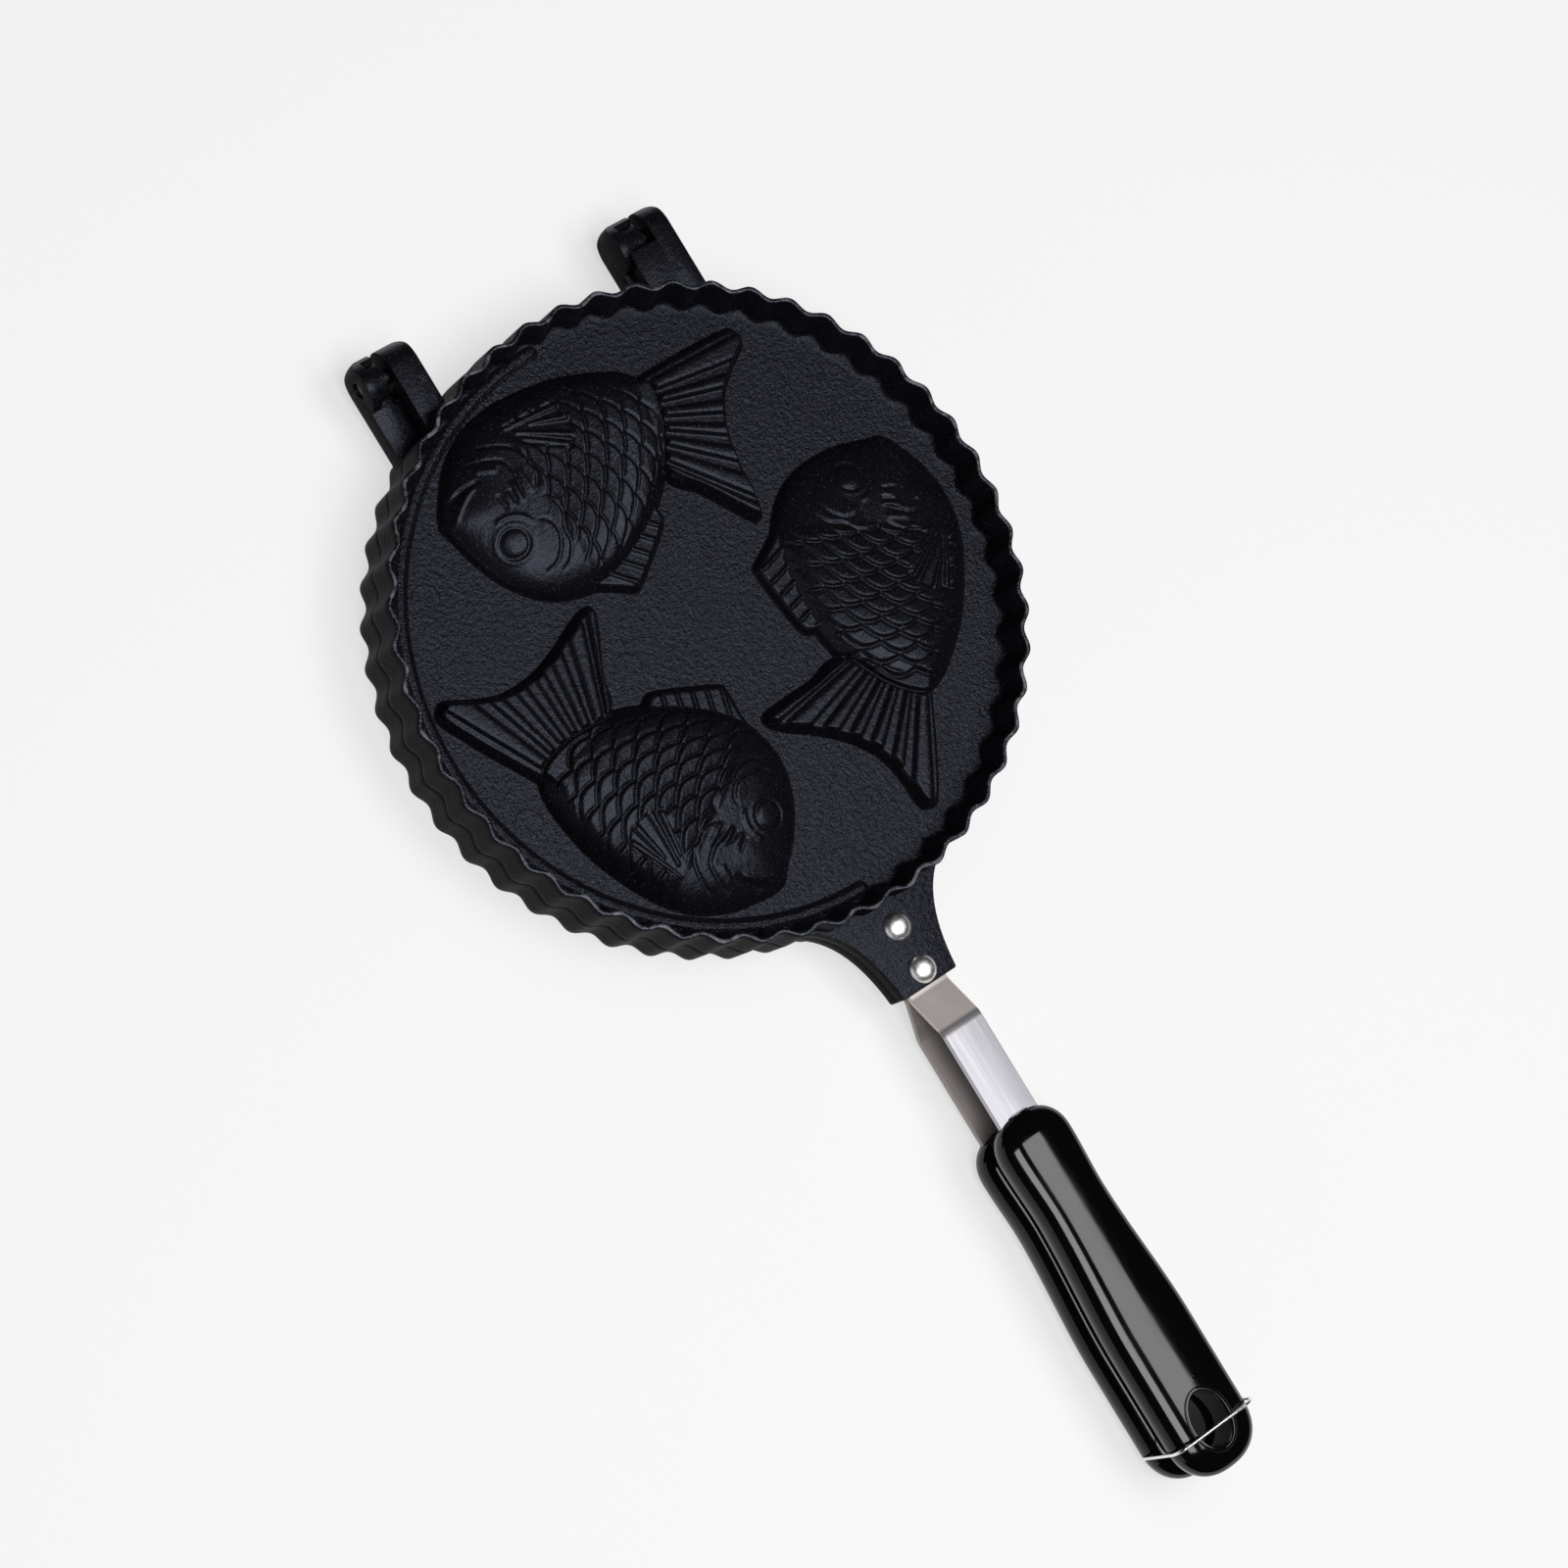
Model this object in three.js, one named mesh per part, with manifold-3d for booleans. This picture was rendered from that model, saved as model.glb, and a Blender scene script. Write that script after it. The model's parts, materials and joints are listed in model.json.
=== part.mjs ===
// Taiyaki pan: a hinged pan for three fish-shaped cakes, shown closed.
// Two castings with a fluted rim meet at a level parting plane. Each has a strip and a moulded grip,
// and a wire bail round the rear of the grips holds the pan shut.
// Millimetres, +Z up, the hinge at +Y and the handles along -Y. The pan stands on z = 0.

import * as THREE from 'three';
import { mergeVertices } from 'three/addons/utils/BufferGeometryUtils.js';
import Module from 'manifold-3d';

const wasm = await Module();
wasm.setup();

// Driving dimensions
const rimRadius = 103;
const halfHeight = 16.15;
const plateThickness = 3.3;
const gripLength = 127;
const gripRearWidth = 29.8;
const gripOffset = 9.25;
const stripWidth = 14.6;
const pinDiameter = 5;
const wireDiameter = 1;

// Clearances
const fit = 0.3;
const runningFit = 0.1;
const overrun = 1;
const partingGap = 0.3;

// Casting: heights are measured from the parting plane outwards
const rimDraft = 0.4;
const rimEdge = 1.5;
const rimFoot = 3.2;
const fluteCount = 50;
const fluteDepth = 2.1;
const innerFluteDepth = 1.7;
const stepsPerFlute = 4;

// Fish: the first one lies by the hinge, its back to the centre, its head towards -X
const fishCount = 3;
const fishBodyLength = rimRadius * 0.796;
const fishBodyDepth = rimRadius * 0.6155;
const fishOffset = rimRadius * 0.5534;
const fishShift = -rimRadius * 0.165;
const fishCrown = 9.8;
const fishWall = 2.6;
const tailLength = rimRadius * 0.4563;
const tailSpan = rimRadius * 0.5476;
const tailShift = rimRadius * 0.2913;
const tailOffset = rimRadius * 0.4854;
const tailRise = 4.2;
const finLength = rimRadius * 0.4175;
const finDepth = rimRadius * 0.2039;
const finShift = -rimRadius * 0.1262;
const finOffset = rimRadius * 0.2816;
const finRise = 3.8;
const fishCavityShare = 0.925;
const tailCavityShare = 0.84;
const crownFallShare = 0.2;
const crownPower = 3.5;
const crownRound = 0.6;
const fishSteps = 34;
const cavitySteps = 24;

// Carving on the fish: bars that fan out over the tail, and the disc of the eye
const fanShift = -rimRadius * 0.0612;
const fanOffset = rimRadius * 0.6854;
const barNear = rimRadius * 0.298;
const barNearWidth = 2.2;
const barFarWidth = 4.2;
const barRise = 0.9;
const barStart = THREE.MathUtils.degToRad(-2.6);
const barPitch = THREE.MathUtils.degToRad(-8.6);
const eyeShift = -rimRadius * 0.4243;
const eyeOffset = rimRadius * 0.4583;
const eyeRadius = 4.2;
const eyeHeight = 8.2;
const eyeDepth = 3;
const eyeTilt = THREE.MathUtils.degToRad(16);
const eyeSides = 14;

// Seal: a tongue on one half runs in a groove in the other, and the groove's back shows as a rib
const sealInset = 7.3;
const ribWidth = 3;
const ribRise = 1.4;
const grooveWidth = 2.2;
const grooveDepth = 2.2;
const tongueHeight = 1.6;
const sealStart = THREE.MathUtils.degToRad(92.5);
const sealSweep = THREE.MathUtils.degToRad(176);
const sealSteps = 30;
const sealEndSteps = 4;

// Hinge: each lug is a knuckle of the lower half beside a block of the upper half, on one pin
const pinReach = 7.6;
const lugRadius = 8;
const lugInner = rimRadius * 0.369;
const lugWidth = 19;
const lugRoot = rimRadius * 0.8155;
const lugCorner = 3.5;
const lugCornerSteps = 4;
const barrelRadius = 6.1;
const flangeWidth = 3;
const leftKnuckleWidth = 7.2;
const rightKnuckleWidth = 9.5;
const lugGap = 2.6;
const blindWall = 2;
const pinInset = 0.9;
const shoulderInset = 1.8;
const seatGap = 0.7;
const recessStart = THREE.MathUtils.degToRad(35);

// Bracket, strip and rivets: places are measured outwards from the rim
const bracketReach = 28.4;
const bracketWidth = 20.8;
const bracketRootWidth = 54;
const bracketRootInset = 4.5;
const bracketThickness = 5.85;
const flankPullWidth = 25;
const flankPullReach = 3;
const stripInset = 2;
const stripThickness = 2.3;
const stripRiseReach = 1.1;
const stripRiseLength = 13.5;
const stripBendReach = 2.1;
const stripBendSteps = 4;
const tangLength = 58.5;
const rivetReaches = [8.2, 23.2];
const rivetHead = 9.2;
const rivetDome = 2.6;
const rivetShank = 5;

// Grip: its ring is level with the rim, so that the pan stands level
const gripReach = 46.1;
const gripFrontWidth = 26.2;
const gripWaistWidth = 24.7;
const gripNose = 12.5;
const gripSides = 24;
const gripSquareness = 2.5;
const holeInset = 16.8;
const holeLength = 19;
const holeWidth = 13;
const ringWidth = 1.3;
const ringRise = 0.4;

// Bail: bent from round wire, pivoted in the sides of the lower grip
const bailPivotInset = 13.7;
const bailBarInset = 15.6;
const bailSide = 0.4;
const bailBend = 4.5;
const bailFootBend = 1.2;
const bailStub = 3.6;
const wireSides = 4;
const wireSteps = 90;

// Derived sizes and places
const floorZ = plateThickness;
const faceZ = partingGap / 2;
const partingZ = halfHeight;
const sealRadius = rimRadius - sealInset;
const pinAxisY = rimRadius + pinReach;
const lugOuter = lugInner + lugWidth;
const bracketRootY = rimRadius - bracketRootInset;
const bracketEnd = rimRadius + bracketReach;
const flankPullY = rimRadius + flankPullReach;
const stripStart = rimRadius + stripInset;
const stripRiseStart = bracketEnd + stripRiseReach;
const stripRiseEnd = stripRiseStart + stripRiseLength;
const gripStart = bracketEnd + gripReach;
const gripEnd = gripStart + gripLength;
const stripEnd = gripStart + tangLength;
const holeY = gripEnd - holeInset;
const bailPivotY = gripEnd - bailPivotInset;
const bailBarY = gripEnd - bailBarInset;
const gripHalf = halfHeight - gripOffset - ringRise;
const centreShift = (gripEnd - pinAxisY - lugRadius) / 2;
const stripLowZ = faceZ + fit;
const stripSeatZ = stripLowZ + stripThickness / 2;
const boreRadius = pinDiameter / 2 + runningFit;

// Finishes
const finishes = {
  coating: { color: 0x2c2e33, roughness: 0.55, metalness: 0.35 },
  steel: { color: 0x8f8d88, roughness: 0.35, metalness: 0.9 },
  rivet: { color: 0xc4c2be, roughness: 0.25, metalness: 0.95 },
  grip: { color: 0x0b0b0d, roughness: 0.18, metalness: 0 },
  wire: { color: 0xd8d8d8, roughness: 0.2, metalness: 1 },
};

function toSolid(geometry) {
  const bare = geometry.clone();
  bare.deleteAttribute('normal');
  bare.deleteAttribute('uv');
  const merged = mergeVertices(bare, wireDiameter * 1e-4);
  const vertProperties = new Float32Array(merged.attributes.position.array);
  const triVerts = new Uint32Array(merged.index.array);
  return new wasm.Manifold(new wasm.Mesh({ numProp: 3, vertProperties, triVerts }));
}

function toGeometry(solid) {
  const mesh = solid.getMesh();
  const geometry = new THREE.BufferGeometry();
  geometry.setAttribute('position', new THREE.BufferAttribute(mesh.vertProperties, 3));
  geometry.setIndex(new THREE.BufferAttribute(mesh.triVerts, 1));
  return geometry;
}

function cutFrom(solid, geometries) {
  return geometries.reduce((left, geometry) => left.subtract(toSolid(geometry)), solid);
}

function joinTo(solid, geometries) {
  return geometries.reduce((left, geometry) => left.add(toSolid(geometry)), solid);
}

// Reflects a geometry across the parting plane and turns its faces out again
function reflected(geometry) {
  const copy = geometry.clone();
  copy.scale(1, 1, -1);
  const index = copy.index.array;
  for (let i = 0; i < index.length; i += 3) {
    [index[i], index[i + 1]] = [index[i + 1], index[i]];
  }
  return copy;
}

// A closed solid through rings of equal point counts, each end closed by a fan to its centre
function loft(rings, startCentre, endCentre) {
  const count = rings[0].length;
  const points = rings.flat();
  const startIndex = points.length;
  points.push(startCentre, endCentre);
  const index = [];
  for (let ring = 0; ring < rings.length - 1; ring += 1) {
    for (let i = 0; i < count; i += 1) {
      const next = (i + 1) % count;
      const a = ring * count + i;
      const b = ring * count + next;
      index.push(a, b, b + count, a, b + count, a + count);
    }
  }
  const last = (rings.length - 1) * count;
  for (let i = 0; i < count; i += 1) {
    const next = (i + 1) % count;
    index.push(startIndex, next, i);
    index.push(startIndex + 1, last + i, last + next);
  }
  const geometry = new THREE.BufferGeometry().setFromPoints(points);
  geometry.setIndex(index);
  return geometry;
}

// One fluted ring, with a crest on the X axis
function flutedRing(crestRadius, depth, z) {
  const count = fluteCount * stepsPerFlute;
  const ring = [];
  for (let i = 0; i < count; i += 1) {
    const turn = i / count * Math.PI * 2;
    const dip = (1 - Math.cos(turn * fluteCount)) / 2;
    const radius = crestRadius - depth * dip;
    ring.push(new THREE.Vector3(radius * Math.cos(turn), radius * Math.sin(turn), z));
  }
  return ring;
}

function flutedBody() {
  const low = flutedRing(rimRadius + rimDraft, fluteDepth, faceZ);
  const high = flutedRing(rimRadius, fluteDepth, halfHeight);
  return loft([low, high], new THREE.Vector3(0, 0, faceZ), new THREE.Vector3(0, 0, halfHeight));
}

function flutedHollow() {
  const top = halfHeight + overrun;
  const low = flutedRing(rimRadius - rimFoot, innerFluteDepth, floorZ);
  const edge = flutedRing(rimRadius - rimEdge, fluteDepth, halfHeight);
  const high = flutedRing(rimRadius - rimEdge, fluteDepth, top);
  return loft([low, edge, high], new THREE.Vector3(0, 0, floorZ), new THREE.Vector3(0, 0, top));
}

// Fish outlines: shares of each form's length and depth, from that form's own centre
const bodyShares = [
  [-0.51, 0.087], [-0.449, 0.218], [-0.363, 0.339], [-0.242, 0.434], [-0.085, 0.473], [0.11, 0.458],
  [0.256, 0.411], [0.427, 0.31], [0.495, 0.174], [0.457, -0.047], [0.341, -0.252], [0.159, -0.426],
  [-0.049, -0.527], [-0.193, -0.514], [-0.315, -0.442], [-0.405, -0.312], [-0.462, -0.166], [-0.494, -0.016],
];
const tailShares = [
  [-0.34, 0.426], [-0.383, -0.106], [-0.213, -0.301], [-0.032, -0.532], [0.032, -0.585], [0.085, -0.562],
  [0.117, -0.461], [0.132, -0.301], [0.17, -0.124], [0.234, 0.009], [0.319, 0.115], [0.447, 0.204],
  [0.585, 0.28], [0.617, 0.328], [0.591, 0.387], [0.511, 0.408], [0.213, 0.415], [-0.085, 0.408],
];
const finShares = [
  [-0.488, -0.095], [-0.279, -0.31], [-0.16, -0.452], [-0.063, -0.571], [0.005, -0.54], [0.233, -0.2],
  [0.43, 0.133], [0.449, 0.286], [0.512, 0.429], [0.302, 0.524], [-0.163, 0.143],
];
const barReachShares = [0.56, 0.515, 0.456, 0.452, 0.471, 0.537, 0.583];
const barWidthShares = [0.5, 0.85, 1, 1, 1, 0.95, 0.4];

function outline(shares, length, depth, samples) {
  const curve = new THREE.CatmullRomCurve3(
    shares.map(([x, y]) => new THREE.Vector3(x * length, y * depth, 0)), true, 'catmullrom', 0.5,
  );
  return curve.getSpacedPoints(samples).slice(0, samples).reverse();
}

function corners(shares, length, depth) {
  const points = shares.map(([x, y]) => new THREE.Vector3(x * length, y * depth, 0));
  return THREE.ShapeUtils.isClockWise(points) ? points.reverse() : points;
}

// A mound over an outline: each ring is the outline drawn in to a share of itself, at its own height
function mound(points, base, rings) {
  const loops = rings.map(([share, height]) => points.map((point) => (
    new THREE.Vector3(point.x * share, point.y * share, height(point.x * share))
  )));
  const foot = points.map((point) => new THREE.Vector3(point.x, point.y, base));
  const top = new THREE.Vector3(0, 0, loops[loops.length - 1][0].z);
  return loft([foot, ...loops], new THREE.Vector3(0, 0, base), top);
}

function bodyHeight(share, start, rise) {
  const round = (1 - share ** crownPower) ** crownRound;
  return (x) => start + rise * round * (1 - crownFallShare * (2 * x / fishBodyLength) ** 2);
}

function fishBody(scale, base, start, rise, samples) {
  const points = outline(bodyShares, fishBodyLength * scale, fishBodyDepth * scale, samples);
  const rings = [0.995, 0.955, 0.87, 0.7, 0.42].map((share) => [share, bodyHeight(share, start, rise)]);
  const geometry = mound(points, base, rings);
  return geometry.translate(fishShift, fishOffset, 0);
}

function slab(shares, length, depth, scale, base, start, rise) {
  const points = corners(shares, length * scale, depth * scale);
  const level = (z) => () => z;
  const edgeShares = [[1, 0], [0.95, 0.75], [0.88, 1]];
  return mound(points, base, edgeShares.map(([share, up]) => [share, level(start + rise * up)]));
}

function fishTail(scale, base, start, rise) {
  return slab(tailShares, tailLength, tailSpan, scale, base, start, rise).translate(tailShift, tailOffset, 0);
}

function fishFin(scale, base, start, rise) {
  return slab(finShares, finLength, finDepth, scale, base, start, rise).translate(finShift, finOffset, 0);
}

// Bars over the tail, each a wedge that runs out from the fan's centre
function tailBars(base, top) {
  return barReachShares.map((share, i) => {
    const near = barNearWidth / 2;
    const far = barFarWidth * barWidthShares[i] / 2;
    const reach = rimRadius * share;
    const shape = new THREE.Shape();
    shape.moveTo(barNear, -near);
    shape.lineTo(reach, -far);
    shape.lineTo(reach, far);
    shape.lineTo(barNear, near);
    const bar = new THREE.ExtrudeGeometry(shape, { depth: top - base, bevelEnabled: false });
    return bar.rotateZ(barStart + i * barPitch).translate(fanShift, fanOffset, base);
  });
}

// The eye is a disc that leans out with the side of the head
function fishEye() {
  const disc = new THREE.CylinderGeometry(eyeRadius, eyeRadius, eyeDepth, eyeSides);
  const heading = Math.atan2(eyeOffset - fishOffset, eyeShift - fishShift);
  disc.rotateX(Math.PI / 2).rotateY(eyeTilt).rotateZ(heading);
  return disc.translate(eyeShift, eyeOffset, floorZ + eyeHeight - eyeDepth / 2);
}

// The relief on the outside of one fish, and the hollow on the inside that makes the cake
function fishRelief(turn) {
  const base = (faceZ + floorZ) / 2;
  return [
    fishBody(1, base, floorZ, fishCrown, fishSteps),
    fishTail(1, base, floorZ, tailRise),
    fishFin(1, base, floorZ, finRise),
    ...tailBars(base, floorZ + tailRise + barRise),
    fishEye(),
  ].map((geometry) => geometry.rotateZ(turn));
}

function fishCavity(turn) {
  const base = -overrun;
  const fall = floorZ - fishWall;
  return [
    fishBody(fishCavityShare, base, faceZ, fishCrown + fall - faceZ, cavitySteps),
    fishTail(tailCavityShare, base, faceZ, tailRise + fall - faceZ),
    fishFin(tailCavityShare, base, faceZ, finRise + fall - faceZ),
  ].map((geometry) => geometry.rotateZ(turn));
}

// An arc-shaped bar with round ends, from z = low to z = high
function arcBar(width, low, high, start) {
  const end = start + sealSweep;
  const points = [];
  const addArc = (x, y, radius, from, to, steps) => {
    for (let i = 0; i <= steps; i += 1) {
      const turn = from + (to - from) * i / steps;
      points.push(new THREE.Vector2(x + radius * Math.cos(turn), y + radius * Math.sin(turn)));
    }
  };
  const half = width / 2;
  addArc(0, 0, sealRadius + half, start, end, sealSteps);
  addArc(sealRadius * Math.cos(end), sealRadius * Math.sin(end), half, end, end + Math.PI, sealEndSteps);
  addArc(0, 0, sealRadius - half, end, start, sealSteps);
  const foot = start + Math.PI;
  addArc(sealRadius * Math.cos(start), sealRadius * Math.sin(start), half, foot, foot + Math.PI, sealEndSteps);
  const unique = points.filter((point, i) => {
    const before = points[(i + points.length - 1) % points.length];
    return point.distanceTo(before) > width / 100;
  });
  const geometry = new THREE.ExtrudeGeometry(new THREE.Shape(unique), { depth: high - low, bevelEnabled: false });
  return geometry.translate(0, 0, low);
}

// Extrudes a shape drawn in Y and Z along X
function alongX(shape, from, to, curveSegments = 20) {
  const geometry = new THREE.ExtrudeGeometry(shape, { depth: to - from, bevelEnabled: false, curveSegments });
  const basis = new THREE.Matrix4().makeBasis(
    new THREE.Vector3(0, 1, 0), new THREE.Vector3(0, 0, 1), new THREE.Vector3(1, 0, 0),
  );
  return geometry.applyMatrix4(basis).translate(from, 0, 0);
}

function roundBar(radius, from, to, y, z, sides = 24) {
  const geometry = new THREE.CylinderGeometry(radius, radius, to - from, sides);
  return geometry.rotateZ(Math.PI / 2).translate((from + to) / 2, y, z);
}

function box(width, length, height, x, y, z) {
  return new THREE.BoxGeometry(width, length, height).translate(x, y, z);
}

// A lug's side view: an arm from the rim that ends in a full round on the pin axis
function lugShape() {
  const reach = Math.sqrt(lugRadius ** 2 - faceZ ** 2);
  const shape = new THREE.Shape();
  shape.moveTo(lugRoot, faceZ);
  shape.lineTo(pinAxisY - reach, faceZ);
  shape.absarc(pinAxisY, 0, lugRadius, Math.PI - Math.asin(faceZ / lugRadius), Math.PI * 2.5, false);
  shape.lineTo(lugRoot, lugRadius);
  return shape;
}

function sector(inner, outer, start, end) {
  const shape = new THREE.Shape();
  shape.absarc(pinAxisY, 0, outer, start, end, false);
  shape.absarc(pinAxisY, 0, inner, end, start, true);
  return shape;
}

const leftKnuckleEnd = -lugOuter + leftKnuckleWidth;
const rightKnuckleEnd = lugInner + rightKnuckleWidth;

// Upper half: a plain block beside each knuckle, and a shoulder across the root of the right one
function hingeBlocks() {
  const leftBlock = alongX(lugShape(), leftKnuckleEnd + lugGap, -lugInner);
  const rightBlock = alongX(lugShape(), rightKnuckleEnd + lugGap, lugOuter);
  const shoulderFrom = lugInner + shoulderInset;
  const shoulderWidth = rightKnuckleEnd + lugGap + overrun - shoulderFrom;
  const shoulderLength = pinAxisY - lugRoot;
  const shoulder = box(
    shoulderWidth, shoulderLength, lugRadius - faceZ,
    shoulderFrom + shoulderWidth / 2, lugRoot + shoulderLength / 2, (lugRadius + faceZ) / 2,
  );
  const seat = roundBar(lugRadius + seatGap, shoulderFrom - overrun, rightKnuckleEnd + lugGap, pinAxisY, 0, 32);
  const shoulderSolid = toSolid(shoulder).subtract(toSolid(seat));
  return toSolid(leftBlock).add(toSolid(rightBlock)).add(shoulderSolid);
}

// Lower half: knuckles, each with a full flange on its left side and a thinner barrel beside it
function hingeKnuckles() {
  const spans = [[-lugOuter, leftKnuckleEnd], [lugInner, rightKnuckleEnd]];
  const knuckles = spans.map(([from, to]) => {
    const body = toSolid(alongX(lugShape(), from, to));
    const recess = sector(barrelRadius, lugRadius + overrun, Math.PI, Math.PI * 2 - recessStart);
    return body.subtract(toSolid(alongX(recess, from + flangeWidth, to + overrun)));
  });
  return knuckles[0].add(knuckles[1]);
}

// What rounds off the four far corners of the lugs, seen from above
function lugCorners() {
  const end = pinAxisY + lugRadius;
  const height = lugRadius + overrun;
  const places = [-1, 1].flatMap((side) => [[side * lugOuter, side], [side * lugInner, -side]]);
  return places.map(([face, out]) => {
    const inner = face - out * lugCorner;
    const shape = new THREE.Shape();
    shape.moveTo(face + out * overrun, end - lugCorner);
    shape.lineTo(face + out * overrun, end + overrun);
    shape.lineTo(inner, end + overrun);
    for (let i = 0; i <= lugCornerSteps; i += 1) {
      const turn = (1 - i / lugCornerSteps) * Math.PI / 2;
      const along = end - lugCorner + lugCorner * Math.sin(turn);
      shape.lineTo(inner + out * lugCorner * Math.cos(turn), along);
    }
    const cutter = new THREE.ExtrudeGeometry(shape, { depth: height * 2, bevelEnabled: false });
    return cutter.translate(0, 0, -height);
  });
}

// The two pins go in from the outer faces and stop short of the inner ones
function hingeBores() {
  const reach = lugOuter - lugInner - blindWall + overrun;
  return [-1, 1].map((side) => {
    const from = side * (lugOuter + overrun);
    const to = from - side * reach;
    return roundBar(boreRadius, Math.min(from, to), Math.max(from, to), pinAxisY, 0, 28);
  });
}

function bracketShape() {
  const shape = new THREE.Shape();
  const half = bracketWidth / 2;
  const root = bracketRootWidth / 2;
  shape.moveTo(half, -bracketEnd);
  shape.quadraticCurveTo(flankPullWidth / 2, -flankPullY, root, -bracketRootY);
  shape.lineTo(0, -lugRoot);
  shape.lineTo(-root, -bracketRootY);
  shape.quadraticCurveTo(-flankPullWidth / 2, -flankPullY, -half, -bracketEnd);
  return shape;
}

function bracket() {
  const geometry = new THREE.ExtrudeGeometry(
    bracketShape(), { depth: bracketThickness - faceZ, bevelEnabled: false, curveSegments: 8 },
  );
  return geometry.translate(0, 0, faceZ);
}

function stripChannel() {
  const width = stripWidth + 2 * fit;
  const height = stripLowZ + stripThickness + fit;
  const length = bracketEnd + overrun - (stripStart - fit);
  return box(width, length, height, 0, -(stripStart - fit) - length / 2, height / 2);
}

function rivetHoles() {
  const length = bracketThickness + overrun;
  return rivetReaches.map((reach) => {
    const hole = new THREE.CylinderGeometry(rivetShank / 2 + fit, rivetShank / 2 + fit, length, 16);
    return hole.rotateX(Math.PI / 2).translate(0, -rimRadius - reach, length / 2);
  });
}

// A casting in its own frame: parting face near z = 0, rim edge at z = halfHeight
function casting(hinge, ribStart) {
  const lugs = cutFrom(hinge, lugCorners());
  let solid = toSolid(flutedBody()).add(toSolid(bracket())).add(lugs);
  solid = cutFrom(solid, [flutedHollow()]);
  const turns = Array.from({ length: fishCount }, (_, i) => i / fishCount * Math.PI * 2);
  solid = joinTo(solid, turns.flatMap(fishRelief));
  solid = joinTo(solid, [
    arcBar(ribWidth, (faceZ + floorZ) / 2, floorZ + ribRise, ribStart),
    arcBar(grooveWidth - 2 * fit, faceZ - tongueHeight, (faceZ + floorZ) / 2, ribStart + Math.PI),
  ]);
  solid = cutFrom(solid, turns.flatMap(fishCavity));
  solid = cutFrom(solid, [
    arcBar(grooveWidth, -overrun, faceZ + grooveDepth, ribStart),
    stripChannel(), ...rivetHoles(), ...hingeBores(),
  ]);
  return toGeometry(solid);
}

// A ribbon of even thickness along a bent line in Y and Z, mitred at each bend
function ribbonShape(points, thickness) {
  const offset = (side) => points.map((point, i) => {
    const before = points[Math.max(i - 1, 0)];
    const after = points[Math.min(i + 1, points.length - 1)];
    const into = (i > 0 ? point.clone().sub(before) : after.clone().sub(point)).normalize();
    const out = (i < points.length - 1 ? after.clone().sub(point) : point.clone().sub(before)).normalize();
    const normal = new THREE.Vector2(-into.y - out.y, into.x + out.x).normalize();
    const along = new THREE.Vector2(-into.y, into.x);
    return point.clone().addScaledVector(normal, side * thickness / 2 / normal.dot(along));
  });
  return new THREE.Shape([...offset(-1), ...offset(1).reverse()]);
}

// Turns each inner corner of a line into a short curve that starts and ends at a reach from it
function softened(points, reach, steps) {
  return points.flatMap((point, i) => {
    if (i === 0 || i === points.length - 1) {
      return [point];
    }
    const from = points[i - 1].clone().sub(point).setLength(reach).add(point);
    const to = points[i + 1].clone().sub(point).setLength(reach).add(point);
    return new THREE.QuadraticBezierCurve(from, point, to).getPoints(steps);
  });
}

function strip() {
  const line = softened([
    new THREE.Vector2(-stripStart, stripSeatZ),
    new THREE.Vector2(-stripRiseStart, stripSeatZ),
    new THREE.Vector2(-stripRiseEnd, gripOffset),
    new THREE.Vector2(-stripEnd, gripOffset),
  ], stripBendReach, stripBendSteps);
  const bar = toSolid(alongX(ribbonShape(line, stripThickness), -stripWidth / 2, stripWidth / 2));
  return toGeometry(cutFrom(bar, rivetHoles()));
}

function rivet(reach) {
  const seat = bracketThickness + fit;
  const shank = rivetShank / 2;
  const head = rivetHead / 2;
  const profile = [[0, stripLowZ], [shank, stripLowZ], [shank, seat]].map(([x, y]) => new THREE.Vector2(x, y));
  const domeSteps = 4;
  for (let i = 0; i <= domeSteps; i += 1) {
    const turn = i / domeSteps * Math.PI / 2;
    const radius = i === domeSteps ? 0 : head * Math.cos(turn);
    profile.push(new THREE.Vector2(radius, seat + rivetDome * Math.sin(turn)));
  }
  const geometry = new THREE.LatheGeometry(profile, 16);
  return geometry.rotateX(Math.PI / 2).translate(0, -rimRadius - reach, 0);
}

// Grip: rings of a squared ellipse along Y, with a domed nose, a waist behind it and a domed rear
function gripRing(y, halfWidth, halfThick) {
  const ring = [];
  for (let i = 0; i < gripSides; i += 1) {
    const turn = i / gripSides * Math.PI * 2;
    const across = Math.sign(Math.cos(turn)) * Math.abs(Math.cos(turn)) ** (2 / gripSquareness);
    const up = Math.sign(Math.sin(turn)) * Math.abs(Math.sin(turn)) ** (2 / gripSquareness);
    ring.push(new THREE.Vector3(halfWidth * across, -y, gripOffset + halfThick * up));
  }
  return ring;
}

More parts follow.
